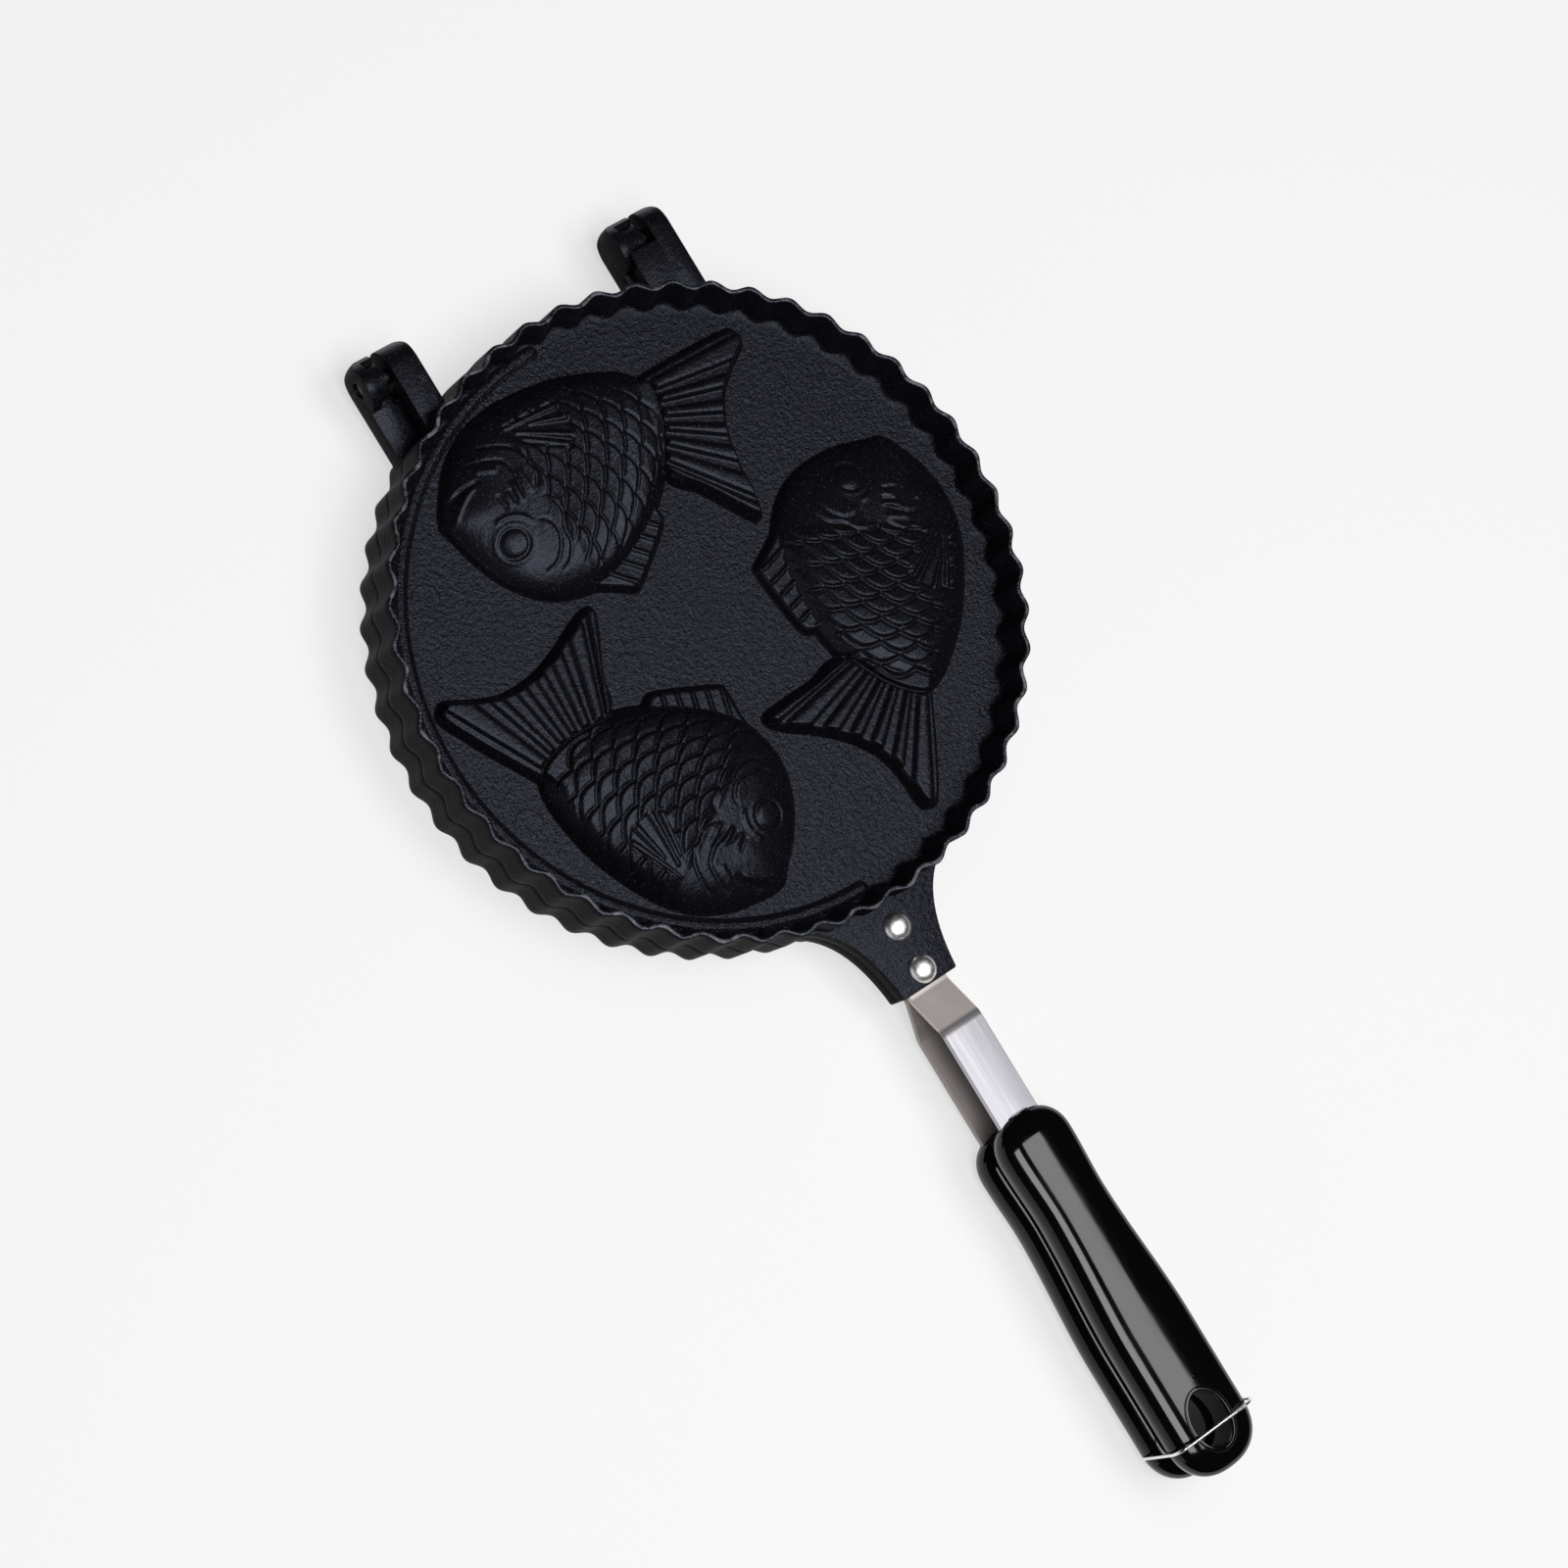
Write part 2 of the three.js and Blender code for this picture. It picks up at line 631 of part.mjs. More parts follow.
function gripLoft(raise) {
  const rear = gripRearWidth / 2;
  const front = gripFrontWidth / 2;
  const waist = gripWaistWidth / 2;
  const noseEnd = gripStart + gripNose;
  const domeStart = gripEnd - rear;
  const length = domeStart - noseEnd;
  const rings = [];
  const noseShares = [
    [0, 0.69, 0.46], [0.1, 0.7, 0.58], [0.24, 0.75, 0.72], [0.44, 0.89, 0.87], [0.68, 0.97, 0.965],
  ];
  noseShares.forEach(([share, wide, thick]) => {
    rings.push(gripRing(gripStart + share * gripNose, front * wide, gripHalf * thick + raise));
  });
  const bodyStationShares = [0, 0.1, 0.2, 0.32, 0.43, 0.55, 0.68, 1];
  bodyStationShares.forEach((share) => {
    const neck = (waist - front) * THREE.MathUtils.smoothstep(share, 0, 0.2);
    const swell = (rear - waist) * THREE.MathUtils.smoothstep(share, 0.18, 0.68);
    rings.push(gripRing(noseEnd + share * length, front + neck + swell, gripHalf + raise));
  });
  const domeShares = [0.25, 0.45, 0.63, 0.78, 0.9, 0.97];
  domeShares.forEach((share) => {
    const shrink = Math.sqrt(1 - share ** 2);
    rings.push(gripRing(domeStart + share * rear, rear * shrink, (gripHalf + raise) * shrink));
  });
  const start = new THREE.Vector3(0, -gripStart, gripOffset);
  const end = new THREE.Vector3(0, -gripEnd, gripOffset);
  return loft(rings, start, end);
}

function ovalBar(width, length, from, to) {
  const shape = new THREE.Shape();
  shape.absellipse(0, 0, width / 2, length / 2, 0, Math.PI * 2, false, 0);
  const settings = { depth: to - from, bevelEnabled: false, curveSegments: 14 };
  const geometry = new THREE.ExtrudeGeometry(shape, settings);
  return geometry.translate(0, -holeY, from);
}

function grip(withPivot) {
  const low = gripOffset - gripHalf - overrun;
  const high = gripOffset + gripHalf + overrun;
  const ring = toSolid(gripLoft(ringRise)).intersect(
    toSolid(ovalBar(holeWidth + 2 * ringWidth, holeLength + 2 * ringWidth, gripOffset, high)),
  );
  let solid = toSolid(gripLoft(0)).add(ring);
  const pocketLength = stripEnd + fit - gripStart + overrun;
  const pocket = box(
    stripWidth + 2 * fit, pocketLength, stripThickness + 2 * fit,
    0, -(stripEnd + fit) + pocketLength / 2, gripOffset,
  );
  solid = cutFrom(solid, [ovalBar(holeWidth, holeLength, low, high), pocket]);
  if (withPivot) {
    const outer = gripRearWidth / 2 + overrun;
    const inner = gripRearWidth / 2 + bailSide + wireDiameter / 2 - bailStub - bailFootBend - fit;
    const radius = wireDiameter / 2 + fit;
    solid = cutFrom(solid, [-1, 1].map((side) => {
      const from = Math.min(side * inner, side * outer);
      const to = Math.max(side * inner, side * outer);
      return roundBar(radius, from, to, -bailPivotY, gripOffset, 12);
    }));
  }
  return toGeometry(solid);
}

// Bail: stub, bend, leg, bend, bar and the same again, as one wire swept along its line
function bail() {
  const side = gripRearWidth / 2 + bailSide + wireDiameter / 2;
  const pivotZ = partingZ - gripOffset;
  const barZ = partingZ + halfHeight + fit + wireDiameter / 2;
  const tilt = (bailPivotY - bailBarY) / (barZ - pivotZ);
  const at = (x, rise) => new THREE.Vector3(x, -bailPivotY + rise * tilt, pivotZ + rise);
  const height = barZ - pivotZ;
  const path = new THREE.CurvePath();
  const foot = side - bailFootBend;
  const shoulder = side - bailBend;
  const line = [
    [at(-foot + bailStub, 0), at(-foot, 0)],
    [at(-foot, 0), at(-side, 0), at(-side, bailFootBend)],
    [at(-side, bailFootBend), at(-side, height - bailBend)],
    [at(-side, height - bailBend), at(-side, height), at(-shoulder, height)],
    [at(-shoulder, height), at(shoulder, height)],
    [at(shoulder, height), at(side, height), at(side, height - bailBend)],
    [at(side, height - bailBend), at(side, bailFootBend)],
    [at(side, bailFootBend), at(side, 0), at(foot, 0)],
    [at(foot, 0), at(foot - bailStub, 0)],
  ];
  line.forEach((points) => {
    const Piece = points.length === 2 ? THREE.LineCurve3 : THREE.QuadraticBezierCurve3;
    path.add(new Piece(...points));
  });
  const section = new THREE.Shape();
  section.absarc(0, 0, wireDiameter / 2, 0, Math.PI * 2, false);
  return new THREE.ExtrudeGeometry(section, { steps: wireSteps, extrudePath: path, curveSegments: wireSides });
}

function hingePin(side) {
  const outer = side * (lugOuter - pinInset);
  const inner = side * (lugInner + blindWall + fit);
  return roundBar(pinDiameter / 2, Math.min(outer, inner), Math.max(outer, inner), pinAxisY, 0, 20);
}

const pan = new THREE.Group();
pan.name = 'taiyaki_pan';

function addPiece(name, geometry, finish, z = partingZ) {
  const mesh = new THREE.Mesh(geometry, new THREE.MeshStandardMaterial(finish));
  mesh.name = name;
  mesh.position.set(0, centreShift, z);
  pan.add(mesh);
}

addPiece('upper_mould', casting(hingeBlocks(), sealStart), finishes.coating);
addPiece('lower_mould', reflected(casting(hingeKnuckles(), sealStart + Math.PI)), finishes.coating);

const halves = [['upper', (geometry) => geometry], ['lower', reflected]];
halves.forEach(([half, turned]) => {
  addPiece(`${half}_strip`, turned(strip()), finishes.steel);
  addPiece(`${half}_rivet_front`, turned(rivet(rivetReaches[0])), finishes.rivet);
  addPiece(`${half}_rivet_rear`, turned(rivet(rivetReaches[1])), finishes.rivet);
  addPiece(`${half}_grip`, turned(grip(half === 'lower')), finishes.grip);
});

addPiece('hinge_pin_left', hingePin(-1), finishes.steel);
addPiece('hinge_pin_right', hingePin(1), finishes.steel);
addPiece('bail', bail(), finishes.wire, 0);

export default pan;
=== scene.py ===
import json
import math

import bpy
import numpy as np
from mathutils import Matrix, Vector


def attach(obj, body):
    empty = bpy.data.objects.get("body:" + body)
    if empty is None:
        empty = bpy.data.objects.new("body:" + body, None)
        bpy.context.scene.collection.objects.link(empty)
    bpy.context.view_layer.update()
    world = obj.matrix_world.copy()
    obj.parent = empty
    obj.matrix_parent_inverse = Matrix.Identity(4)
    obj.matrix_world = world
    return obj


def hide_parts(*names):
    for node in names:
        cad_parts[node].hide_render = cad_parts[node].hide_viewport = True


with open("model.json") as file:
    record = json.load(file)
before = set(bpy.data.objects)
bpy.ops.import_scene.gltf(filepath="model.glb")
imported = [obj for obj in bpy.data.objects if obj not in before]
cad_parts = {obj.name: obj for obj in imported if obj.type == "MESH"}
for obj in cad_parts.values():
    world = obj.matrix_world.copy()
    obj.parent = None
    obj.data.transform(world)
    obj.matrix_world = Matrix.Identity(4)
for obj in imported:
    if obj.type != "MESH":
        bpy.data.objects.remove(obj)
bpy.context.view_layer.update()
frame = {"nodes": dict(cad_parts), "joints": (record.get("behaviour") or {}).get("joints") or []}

# A closed fish-cake pan. Sizes are in millimetres in the pan's own frame: x = y = 0 on the axis of the
# round pan, z = 0 at the parting plane and growing outwards. place() turns them into the frame's metres.

MM = 0.001
scene = bpy.context.scene
joints = {joint["name"]: joint for joint in frame["joints"]}

# Driving sizes
PARTING_FACE = 0.15
PLATE = 3.3
FLUTES = 50
HINGE_Y = 110.6
GRIP_OFFSET = 9.25

PAN_Y = joints["lid_hinge"]["pos_m"][1] / MM - HINGE_Y
PARTING_Z = joints["lid_hinge"]["pos_m"][2] / MM


def place(points, half):
    """Millimetres of one half's own frame to metres of the row frame; the lower half is the mirror."""
    points = np.array(points, dtype=float)
    side = 1 if half == "upper" else -1
    points[:, 2] = PARTING_Z + side * points[:, 2]
    points[:, 1] += PAN_Y
    return points * MM


def flipped(faces):
    """The same faces, seen from their other side."""
    return [tuple(reversed(face)) for face in faces]


def mesh_object(name, points, faces):
    """A plain mesh object in the scene."""
    mesh = bpy.data.meshes.new(name)
    mesh.from_pydata(np.asarray(points).tolist(), [], [tuple(int(i) for i in face) for face in faces])
    mesh.update()
    item = bpy.data.objects.new(name, mesh)
    scene.collection.objects.link(item)
    return item


def piece(name, points, faces, half, material, replaced=(), raw=False):
    """Makes one mesh piece that rides with its half of the pan."""
    points = points if raw else place(points, half)
    if half == "lower" and not raw:
        faces = flipped(faces)
    item = mesh_object(name, points, faces)
    item.data.polygons.foreach_set("use_smooth", [True] * len(item.data.polygons))
    item.data.materials.append(material)
    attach(item, BODY[half])
    for node in replaced:
        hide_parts(node)
    return item


BODY = {"upper": "upper_half", "lower": "lower_half", "bail": "bail"}


# Materials

class Nodes:
    """A short way to write node materials."""

    def __init__(self, name):
        self.material = bpy.data.materials.new(name)
        self.material.use_nodes = True
        self.tree = self.material.node_tree
        self.shader = self.tree.nodes["Principled BSDF"]
        self.coordinates = self.add("TexCoord").outputs["Object"]

    def give(self, socket, value):
        """Links an output to a socket, or sets the socket's own value."""
        if isinstance(value, bpy.types.NodeSocket):
            self.tree.links.new(value, socket)
        else:
            socket.default_value = value

    def feed(self, node, **values):
        for key, value in values.items():
            self.give(node.inputs[key.replace("_", " ")], value)
        return node

    def add(self, kind, **values):
        return self.feed(self.tree.nodes.new("ShaderNode" + kind), **values)

    def noise(self, scale, detail=2.0, roughness=0.5, stretch=(1, 1, 1)):
        mapping = self.add("Mapping", Scale=stretch, Vector=self.coordinates)
        noise = self.add("TexNoise", Scale=scale, Detail=detail, Roughness=roughness, Vector=mapping.outputs["Vector"])
        return noise.outputs["Fac"]

    def ramp(self, value, low, high, low_to, high_to):
        node = self.add("MapRange", Value=value, From_Min=low, From_Max=high, To_Min=low_to, To_Max=high_to)
        return node.outputs["Result"]

    def mix(self, factor, first, second):
        node = self.add("Mix")
        node.data_type = "RGBA"
        self.give(node.inputs["Factor"], factor)
        for socket, colour in ((node.inputs[6], first), (node.inputs[7], second)):
            self.give(socket, (*colour, 1.0) if isinstance(colour, tuple) else colour)
        return node.outputs[2]

    def calculate(self, operation, first, second):
        node = self.add("Math")
        node.operation, node.use_clamp = operation, True
        self.give(node.inputs[0], first)
        self.give(node.inputs[1], second)
        return node.outputs[0]

    def bump(self, height, distance, strength, **after):
        return self.add("Bump", Height=height, Distance=distance, Strength=strength, **after).outputs["Normal"]

    def shade(self, **values):
        """Feeds the material's shader and returns the material."""
        self.feed(self.shader, **values)
        return self.material


def coating_material(name, pebble, low, high, gloss, bare_and_sheen=0.0):
    """Charcoal non-stick coating on cast aluminium: pebbled grain with pale flecks, and pale spots that are partly wear
    through the coating and partly painted highlight.
    """
    nodes = Nodes(name)
    coarse = nodes.noise(620, detail=2, roughness=0.6)
    grain = nodes.noise(1500, detail=3, roughness=0.6)
    cloud = nodes.noise(60, detail=3)
    fleck = nodes.ramp(nodes.noise(1700, detail=1), 0.66, 0.76, 0.0, 1.0)
    tone = nodes.mix(cloud, (0.003, 0.0031, 0.0041), (0.005, 0.0052, 0.0068))
    flecked = nodes.mix(fleck, tone, (0.05, 0.05, 0.06))
    # Pale spots, partly wear through the coating and partly painted highlight; only the edge coating has them
    wear_and_sheen = nodes.ramp(nodes.noise(260, detail=4), 0.52, 0.66, 0.0, bare_and_sheen)
    pebbled = nodes.bump(coarse, pebble, 1.0)
    return nodes.shade(
        Base_Color=nodes.mix(wear_and_sheen, flecked, (0.3, 0.3, 0.32)), Roughness=nodes.ramp(grain, 0.3, 0.7, low, high),
        Normal=nodes.bump(grain, 0.6 * pebble, 1.0, Normal=pebbled), Specular_IOR_Level=gloss,
        Specular_Tint=(0.74, 0.78, 1.0, 1.0))


def grip_material():
    """Glossy black moulded plastic with slight waviness and faint rubbing marks."""
    nodes = Nodes("gloss_black_plastic")
    wave = nodes.noise(45, detail=1)
    rub = nodes.noise(300, detail=4, stretch=(1, 0.15, 1))
    return nodes.shade(
        Base_Color=(0.0012, 0.0012, 0.0014, 1.0), Roughness=nodes.ramp(rub, 0.35, 0.75, 0.06, 0.13),
        Normal=nodes.bump(wave, 0.0003, 0.2), Specular_IOR_Level=0.4)


def matte_material():
    """The same plastic left matte on the wall of the hanging hole."""
    nodes = Nodes("matte_black_plastic")
    grain = nodes.noise(800, detail=2)
    tone = nodes.mix(grain, (0.0015, 0.0015, 0.0018), (0.003, 0.003, 0.0035))
    return nodes.shade(Base_Color=tone, Roughness=0.55, Normal=nodes.bump(grain, 0.0001, 0.5), Specular_IOR_Level=0.12)


# Distances from the pan's axis over which the strip's look changes: heat tint, and painted shade at the upper bend
HEAT_FADES, BAND_STARTS, BAND_ENDS = (148.5, 146.5), (144.2, 145.2), (146.6, 147.6)


def shaded(colour, share):
    return tuple(share * channel for channel in colour)


def strip_material(name, cool, warm, band_shade):
    """Brushed steel, browner where the strip rises from the bracket, with painted shade darkening it at the upper bend.
    """
    nodes = Nodes(name)
    brush = nodes.noise(900, detail=3, stretch=(1, 0.03, 1))
    blotch = nodes.noise(90, detail=4)
    split = nodes.add("SeparateXYZ", Vector=nodes.coordinates)

    def change(distances, before, after):
        near, far = ((PAN_Y - distance) * MM for distance in distances)
        return nodes.ramp(split.outputs["Y"], near, far, before, after)

    heat = change(HEAT_FADES, 0.0, 1.0)
    steel = nodes.mix(blotch, shaded(cool, 0.86), cool)
    burnish = nodes.mix(blotch, shaded(warm, 0.82), warm)
    # Painted shade that darkens the upper bend
    painted_bend_shade = nodes.calculate("MULTIPLY", change(BAND_STARTS, 0.0, 1.0), change(BAND_ENDS, 1.0, 0.0))
    return nodes.shade(
        Base_Color=nodes.mix(painted_bend_shade, nodes.mix(heat, steel, burnish), shaded(cool, band_shade)),
        Roughness=nodes.ramp(brush, 0.3, 0.7, 0.42, 0.52), Normal=nodes.bump(brush, 0.00008, 0.5),
        Metallic=nodes.ramp(heat, 0.0, 1.0, 0.6, 0.3))


WORN_ROUGHER = 0.14


def metal_material(name, low, high, rough, scale):
    """Bare metal, duller where it is rubbed."""
    nodes = Nodes(name)
    wear = nodes.noise(scale, detail=4)
    roughness = nodes.ramp(wear, 0.3, 0.7, rough, rough + WORN_ROUGHER)
    return nodes.shade(Base_Color=nodes.mix(wear, low, high), Roughness=roughness, Metallic=1.0)


COATING = coating_material("non_stick_coating", 0.00048, 0.24, 0.34, 0.32)
RELIEF_COATING = coating_material("non_stick_coating_relief", 0.00014, 0.24, 0.34, 0.24)
WALL_COATING = coating_material("non_stick_coating_wall", 0.0002, 0.38, 0.5, 0.015)
# The edge coating's pale spots along the rolled edge are partly wear and partly painted highlight
EDGE_COATING = coating_material("non_stick_coating_edge", 0.0002, 0.22, 0.32, 0.5, 0.35)
GRIP = grip_material()
HOLE_WALL = matte_material()
STEEL = strip_material("brushed_steel_strip", (0.52, 0.51, 0.55), (0.62, 0.56, 0.54), 0.32)
# The lower strip's steel, darker all along as painted shade from the upper strip above it
SHADED_LOWER_STEEL = strip_material("aged_steel_strip", (0.35, 0.31, 0.3), (0.33, 0.29, 0.27), 1.0)
RIVET = metal_material("polished_rivet", (0.86, 0.86, 0.88), (0.96, 0.96, 0.97), 0.3, 700)
# The pins' steel is dark as painted shade, so a pin stays as dark as the shaded slot between the lugs where it shows
PIN = metal_material("pin_steel_in_painted_shade", (0.05, 0.05, 0.055), (0.09, 0.09, 0.1), 0.4, 500)
WIRE = metal_material("bright_wire", (0.8, 0.8, 0.8), (0.93, 0.93, 0.92), 0.12, 600)


# Grids and rings

def full_turn(count):
    """Equal steps round a circle, in radians."""
    return np.linspace(0, 2 * math.pi, count, endpoint=False)


def circle(turns, radius, z, centre=(0.0, 0.0)):
    """A level ring of points."""
    x, y = centre[0] + radius * np.cos(turns), centre[1] + radius * np.sin(turns)
    return np.column_stack([x, y, np.full(len(turns), z)])


def shell(rings):
    """Points and faces of a skin through rings of equal counts."""
    return np.vstack(rings), ring_faces(len(rings), len(rings[0]))


def ring_faces(rows, columns):
    """Quads between consecutive rings of points."""
    faces = []
    for row in range(rows - 1):
        for column in range(columns):
            after = (column + 1) % columns
            a, b = row * columns + column, row * columns + after
            faces.append((a, b, b + columns, a + columns))
    return faces


# Crest radius, flute depth and height, from the floor inside over the edge to the parting face outside
RIM_PROFILE = [
    (95.6, 0.0, 3.3), (97.0, 0.9, 3.32), (98.3, 1.8, 3.5), (99.15, 2.2, 3.9), (99.6, 2.35, 4.6),
    (99.8, 2.4, 5.4), (100.35, 2.4, 8.9), (100.95, 2.3, 12.6), (101.35, 2.15, 15.3), (101.43, 2.1, 15.75),
    (101.6, 2.1, 16.02), (101.9, 2.1, 16.13), (102.25, 2.1, 16.15), (102.6, 2.1, 16.13), (102.87, 2.1, 16.02),
    (103.0, 2.1, 15.75), (103.1, 2.1, 12.2), (103.2, 2.1, 8.15), (103.3, 2.1, 4.1), (103.38, 2.1, 0.6),
    (103.3, 2.1, 0.3), (103.1, 2.1, 0.15), (101.0, 1.4, 0.15), (98.5, 0.0, 0.15),
]
RIM_EDGE_ROWS = (10, 14)
STEPS_PER_FLUTE = 20


def rim(half):
    """The fluted wall with its rolled edge, a crest on the X axis."""
    turns = full_turn(FLUTES * STEPS_PER_FLUTE)
    dip = (1 - np.cos(turns * FLUTES)) / 2
    rings = [circle(turns, radius - depth * dip, z) for radius, depth, z in RIM_PROFILE]
    item = piece(f"{half}_rim", *shell(rings), half, COATING, [f"{half}_mould"])
    item.data.materials.append(EDGE_COATING)
    item.data.materials.append(WALL_COATING)
    # The rolled edge takes the edge coating, with its pale spots of partly wear and partly painted highlight
    first, last = RIM_EDGE_ROWS
    bands = [0] * first + [1] * (last - first) + [2] * (len(rings) - 1 - last)
    item.data.polygons.foreach_set("material_index", np.repeat(bands, len(turns)).tolist())


FLOOR_RADII, FLOOR_STEPS = (96.4, 60.0, 30.0, 8.0), 250


def floor(half):
    """The flat floor of the dish."""
    turns = full_turn(FLOOR_STEPS)
    points = np.vstack([circle(turns, radius, PLATE) for radius in FLOOR_RADII] + [[[0, 0, PLATE]]])
    faces = ring_faces(len(FLOOR_RADII), FLOOR_STEPS)
    start = (len(FLOOR_RADII) - 1) * FLOOR_STEPS
    faces += [(start + i, start + (i + 1) % FLOOR_STEPS, len(points) - 1) for i in range(FLOOR_STEPS)]
    piece(f"{half}_floor", points, faces, half, COATING)


# The fish relief

BODY_OUTLINE = [
    (-58.8, 62.5), (-53.8, 70.8), (-46.8, 78.5), (-36.8, 84.5), (-24, 87), (-8, 86), (4, 83.1), (18, 76.7),
    (23.6, 68), (20.5, 54), (11, 41), (-4, 30), (-21, 23.6), (-32.8, 24.4), (-42.8, 29), (-50.2, 37.2),
    (-54.9, 46.5), (-57.5, 56),
]
TAIL_OUTLINE = [
    (14, 72), (12, 44), (20, 33), (28.5, 20), (31.5, 17), (34, 18.3), (35.5, 24), (36.2, 33), (38, 43),
    (41, 50.5), (45, 56.5), (51, 61.5), (57.5, 65.8), (59, 68.5), (57.8, 71.8), (54, 73), (40, 73.4), (22, 73),
]
FIN_OUTLINE = [
    (-34, 27), (-25, 22.5), (-19.9, 19.5), (-15.7, 17), (-12.8, 17.7), (-3, 24.8), (3.6, 30.2), (4.8, 32.2),
    (4.6, 35.5), (3.5, 39), (-4, 39), (-20, 32),
]
BODY_CENTRE = (-17.0, 57.0)
TAIL_CENTRE = (30.0, 50.0)
FIN_CENTRE = (-13.0, 29.0)
HALF_LENGTH = 41.0
CROWN, CROWN_FALL, CROWN_POWER, CROWN_ROUND = 9.8, 0.2, 3.5, 0.6
TAIL_RISE, FIN_RISE = 4.2, 3.8
OUTLINE_SAMPLES, LINE_SAMPLES = 8, 6


def spline_run(p0, p1, p2, p3, samples):
    """The run of a smooth curve from its point p1 up to p2."""
    cubic, square = -p0 + 3 * p1 - 3 * p2 + p3, 2 * p0 - 5 * p1 + 4 * p2 - p3
    return [0.5 * (2 * p1 + (p2 - p0) * t + square * t ** 2 + cubic * t ** 3)
            for t in np.linspace(0, 1, samples, endpoint=False)]


def spline(points, closed=False):
    """A smooth curve through points."""
    points = np.array(points, float)
    if closed:
        ends = points[np.arange(-1, len(points) + 2) % len(points)]
    else:
        ends = np.vstack([2 * points[0] - points[1], points, 2 * points[-1] - points[-2]])
    result = []
    for i in range(1, len(ends) - 2):
        result += spline_run(*ends[i - 1:i + 3], OUTLINE_SAMPLES if closed else LINE_SAMPLES)
    return np.array(result if closed else [*result, points[-1]])


def line_field(line, x, y, closed=False):
    """Distance to a line, the side of it, positive on its left, and the share of its length there."""
    runs = (np.roll(line, -1, axis=0) if closed else line[1:]) - (line if closed else line[:-1])
    lengths = np.hypot(*runs.T)
    starts = np.concatenate([[0], np.cumsum(lengths)])
    best, side, share = np.full(x.shape, 1e9), np.zeros(x.shape), np.zeros(x.shape)
    for (ax, ay), (rx, ry), length, start in zip(line, runs, lengths, starts):
        along = np.clip(((x - ax) * rx + (y - ay) * ry) / max(length ** 2, 1e-9), 0, 1)
        gap = np.hypot(x - ax - along * rx, y - ay - along * ry)
        closer = gap < best
        best = np.where(closer, gap, best)
        side = np.where(closer, np.sign(rx * (y - ay) - ry * (x - ax)), side)
        share = np.where(closer, (start + along * length) / starts[-1], share)
    return best, side, share


def inside(line, x, y):
    """Whether each point lies inside a closed outline."""
    result = np.zeros(x.shape, bool)
    for i in range(len(line)):
        (ax, ay), (bx, by) = line[i], line[(i + 1) % len(line)]
        crosses = (ay > y) != (by > y)
        with np.errstate(divide="ignore", invalid="ignore"):
            result ^= crosses & (x < (bx - ax) * (y - ay) / (by - ay) + ax)
    return result


def signed(line, x, y):
    """Distance to a closed outline, positive inside."""
    return np.where(inside(line, x, y), 1, -1) * line_field(line, x, y, closed=True)[0]


def smooth(low, high, value):
    """Goes gently from 0 at low to 1 at high."""
    t = np.clip((value - low) / (high - low), 0, 1)
    return t * t * (3 - 2 * t)


def share_of(outline, centre, x, y):
    """How far out each point is, as a share of the outline's radius in that direction."""
    rel = outline - np.array(centre)
    turns = np.arctan2(rel[:, 1], rel[:, 0])
    order = np.argsort(turns)
    radius = np.interp(np.arctan2(y - centre[1], x - centre[0]), turns[order],
                       np.hypot(rel[:, 0], rel[:, 1])[order], period=2 * math.pi)
    return np.hypot(x - centre[0], y - centre[1]) / radius


def body_dome(x, share, crown):
    """The body's dome, lower towards the head and the tail."""
    fall = 1 - CROWN_FALL * ((x - BODY_CENTRE[0]) / HALF_LENGTH) ** 2
    return crown * (1 - np.clip(share, 0, 1) ** CROWN_POWER) ** CROWN_ROUND * fall


SCALE_FIRST, SCALE_PITCH, SCALE_TALL, SCALE_ARC = -21.7, 3.65, 12.0, 2.5
SCALE_COLUMNS, SCALE_REACH, SCALE_STEP = range(11, -2, -1), 7.0, 1.5
SCALE_MIDDLES, SCALE_BEND, SCALE_BEND_Y = (54.3, 60.3), 0.0095, 61
SCALE_LIP, SCALE_LIP_WIDE, SCALE_GROOVE, SCALE_GROOVE_WIDE = 0.25, 0.5, 0.6, 0.45


def scales(x, y):
    """Overlapping scales: each rises to its free edge towards the tail, the one nearer the head on top."""
    bent = x + SCALE_BEND * (y - SCALE_BEND_Y) ** 2
    height = np.zeros(x.shape)
    for column in SCALE_COLUMNS:
        tip = SCALE_FIRST + SCALE_PITCH * column
        dy = (y - SCALE_MIDDLES[column % 2] + SCALE_TALL / 2) % SCALE_TALL - SCALE_TALL / 2
        across = np.abs(dy) / (SCALE_TALL / 2)
        behind = tip - SCALE_ARC * across ** 1.8 - bent
        top = SCALE_STEP * (1 - 0.3 * across ** 2) * np.clip(1 - behind / SCALE_REACH, 0, 1)
        top = top - SCALE_LIP * np.exp(-(behind / SCALE_LIP_WIDE) ** 2)
        groove = SCALE_GROOVE * np.exp(-((behind + SCALE_GROOVE_WIDE) / SCALE_GROOVE_WIDE) ** 2)
        lip = smooth(-0.12, 0.25, behind)
        height = (height - groove) * (1 - lip) + top * lip
    return height


TAIL_APEX = (-6.3, 70.6)
TAIL_BARS = [
    (-0.8, -7.2), (-10.8, -15), (-19.3, -23.9), (-27.9, -32.2), (-35.9, -40.8), (-44.3, -49.8), (-51.6, -54.2),
]
TAIL_BAR_RISE, TAIL_BAR_FILLS, TAIL_BAR_FLAT = 1.25, 0.12, 1.6
TAIL_BASE = [(18, 77.5), (22.6, 70.5), (22.2, 64), (20, 57.5), (17.8, 53.5), (15, 49), (12, 45), (8, 40.5)]


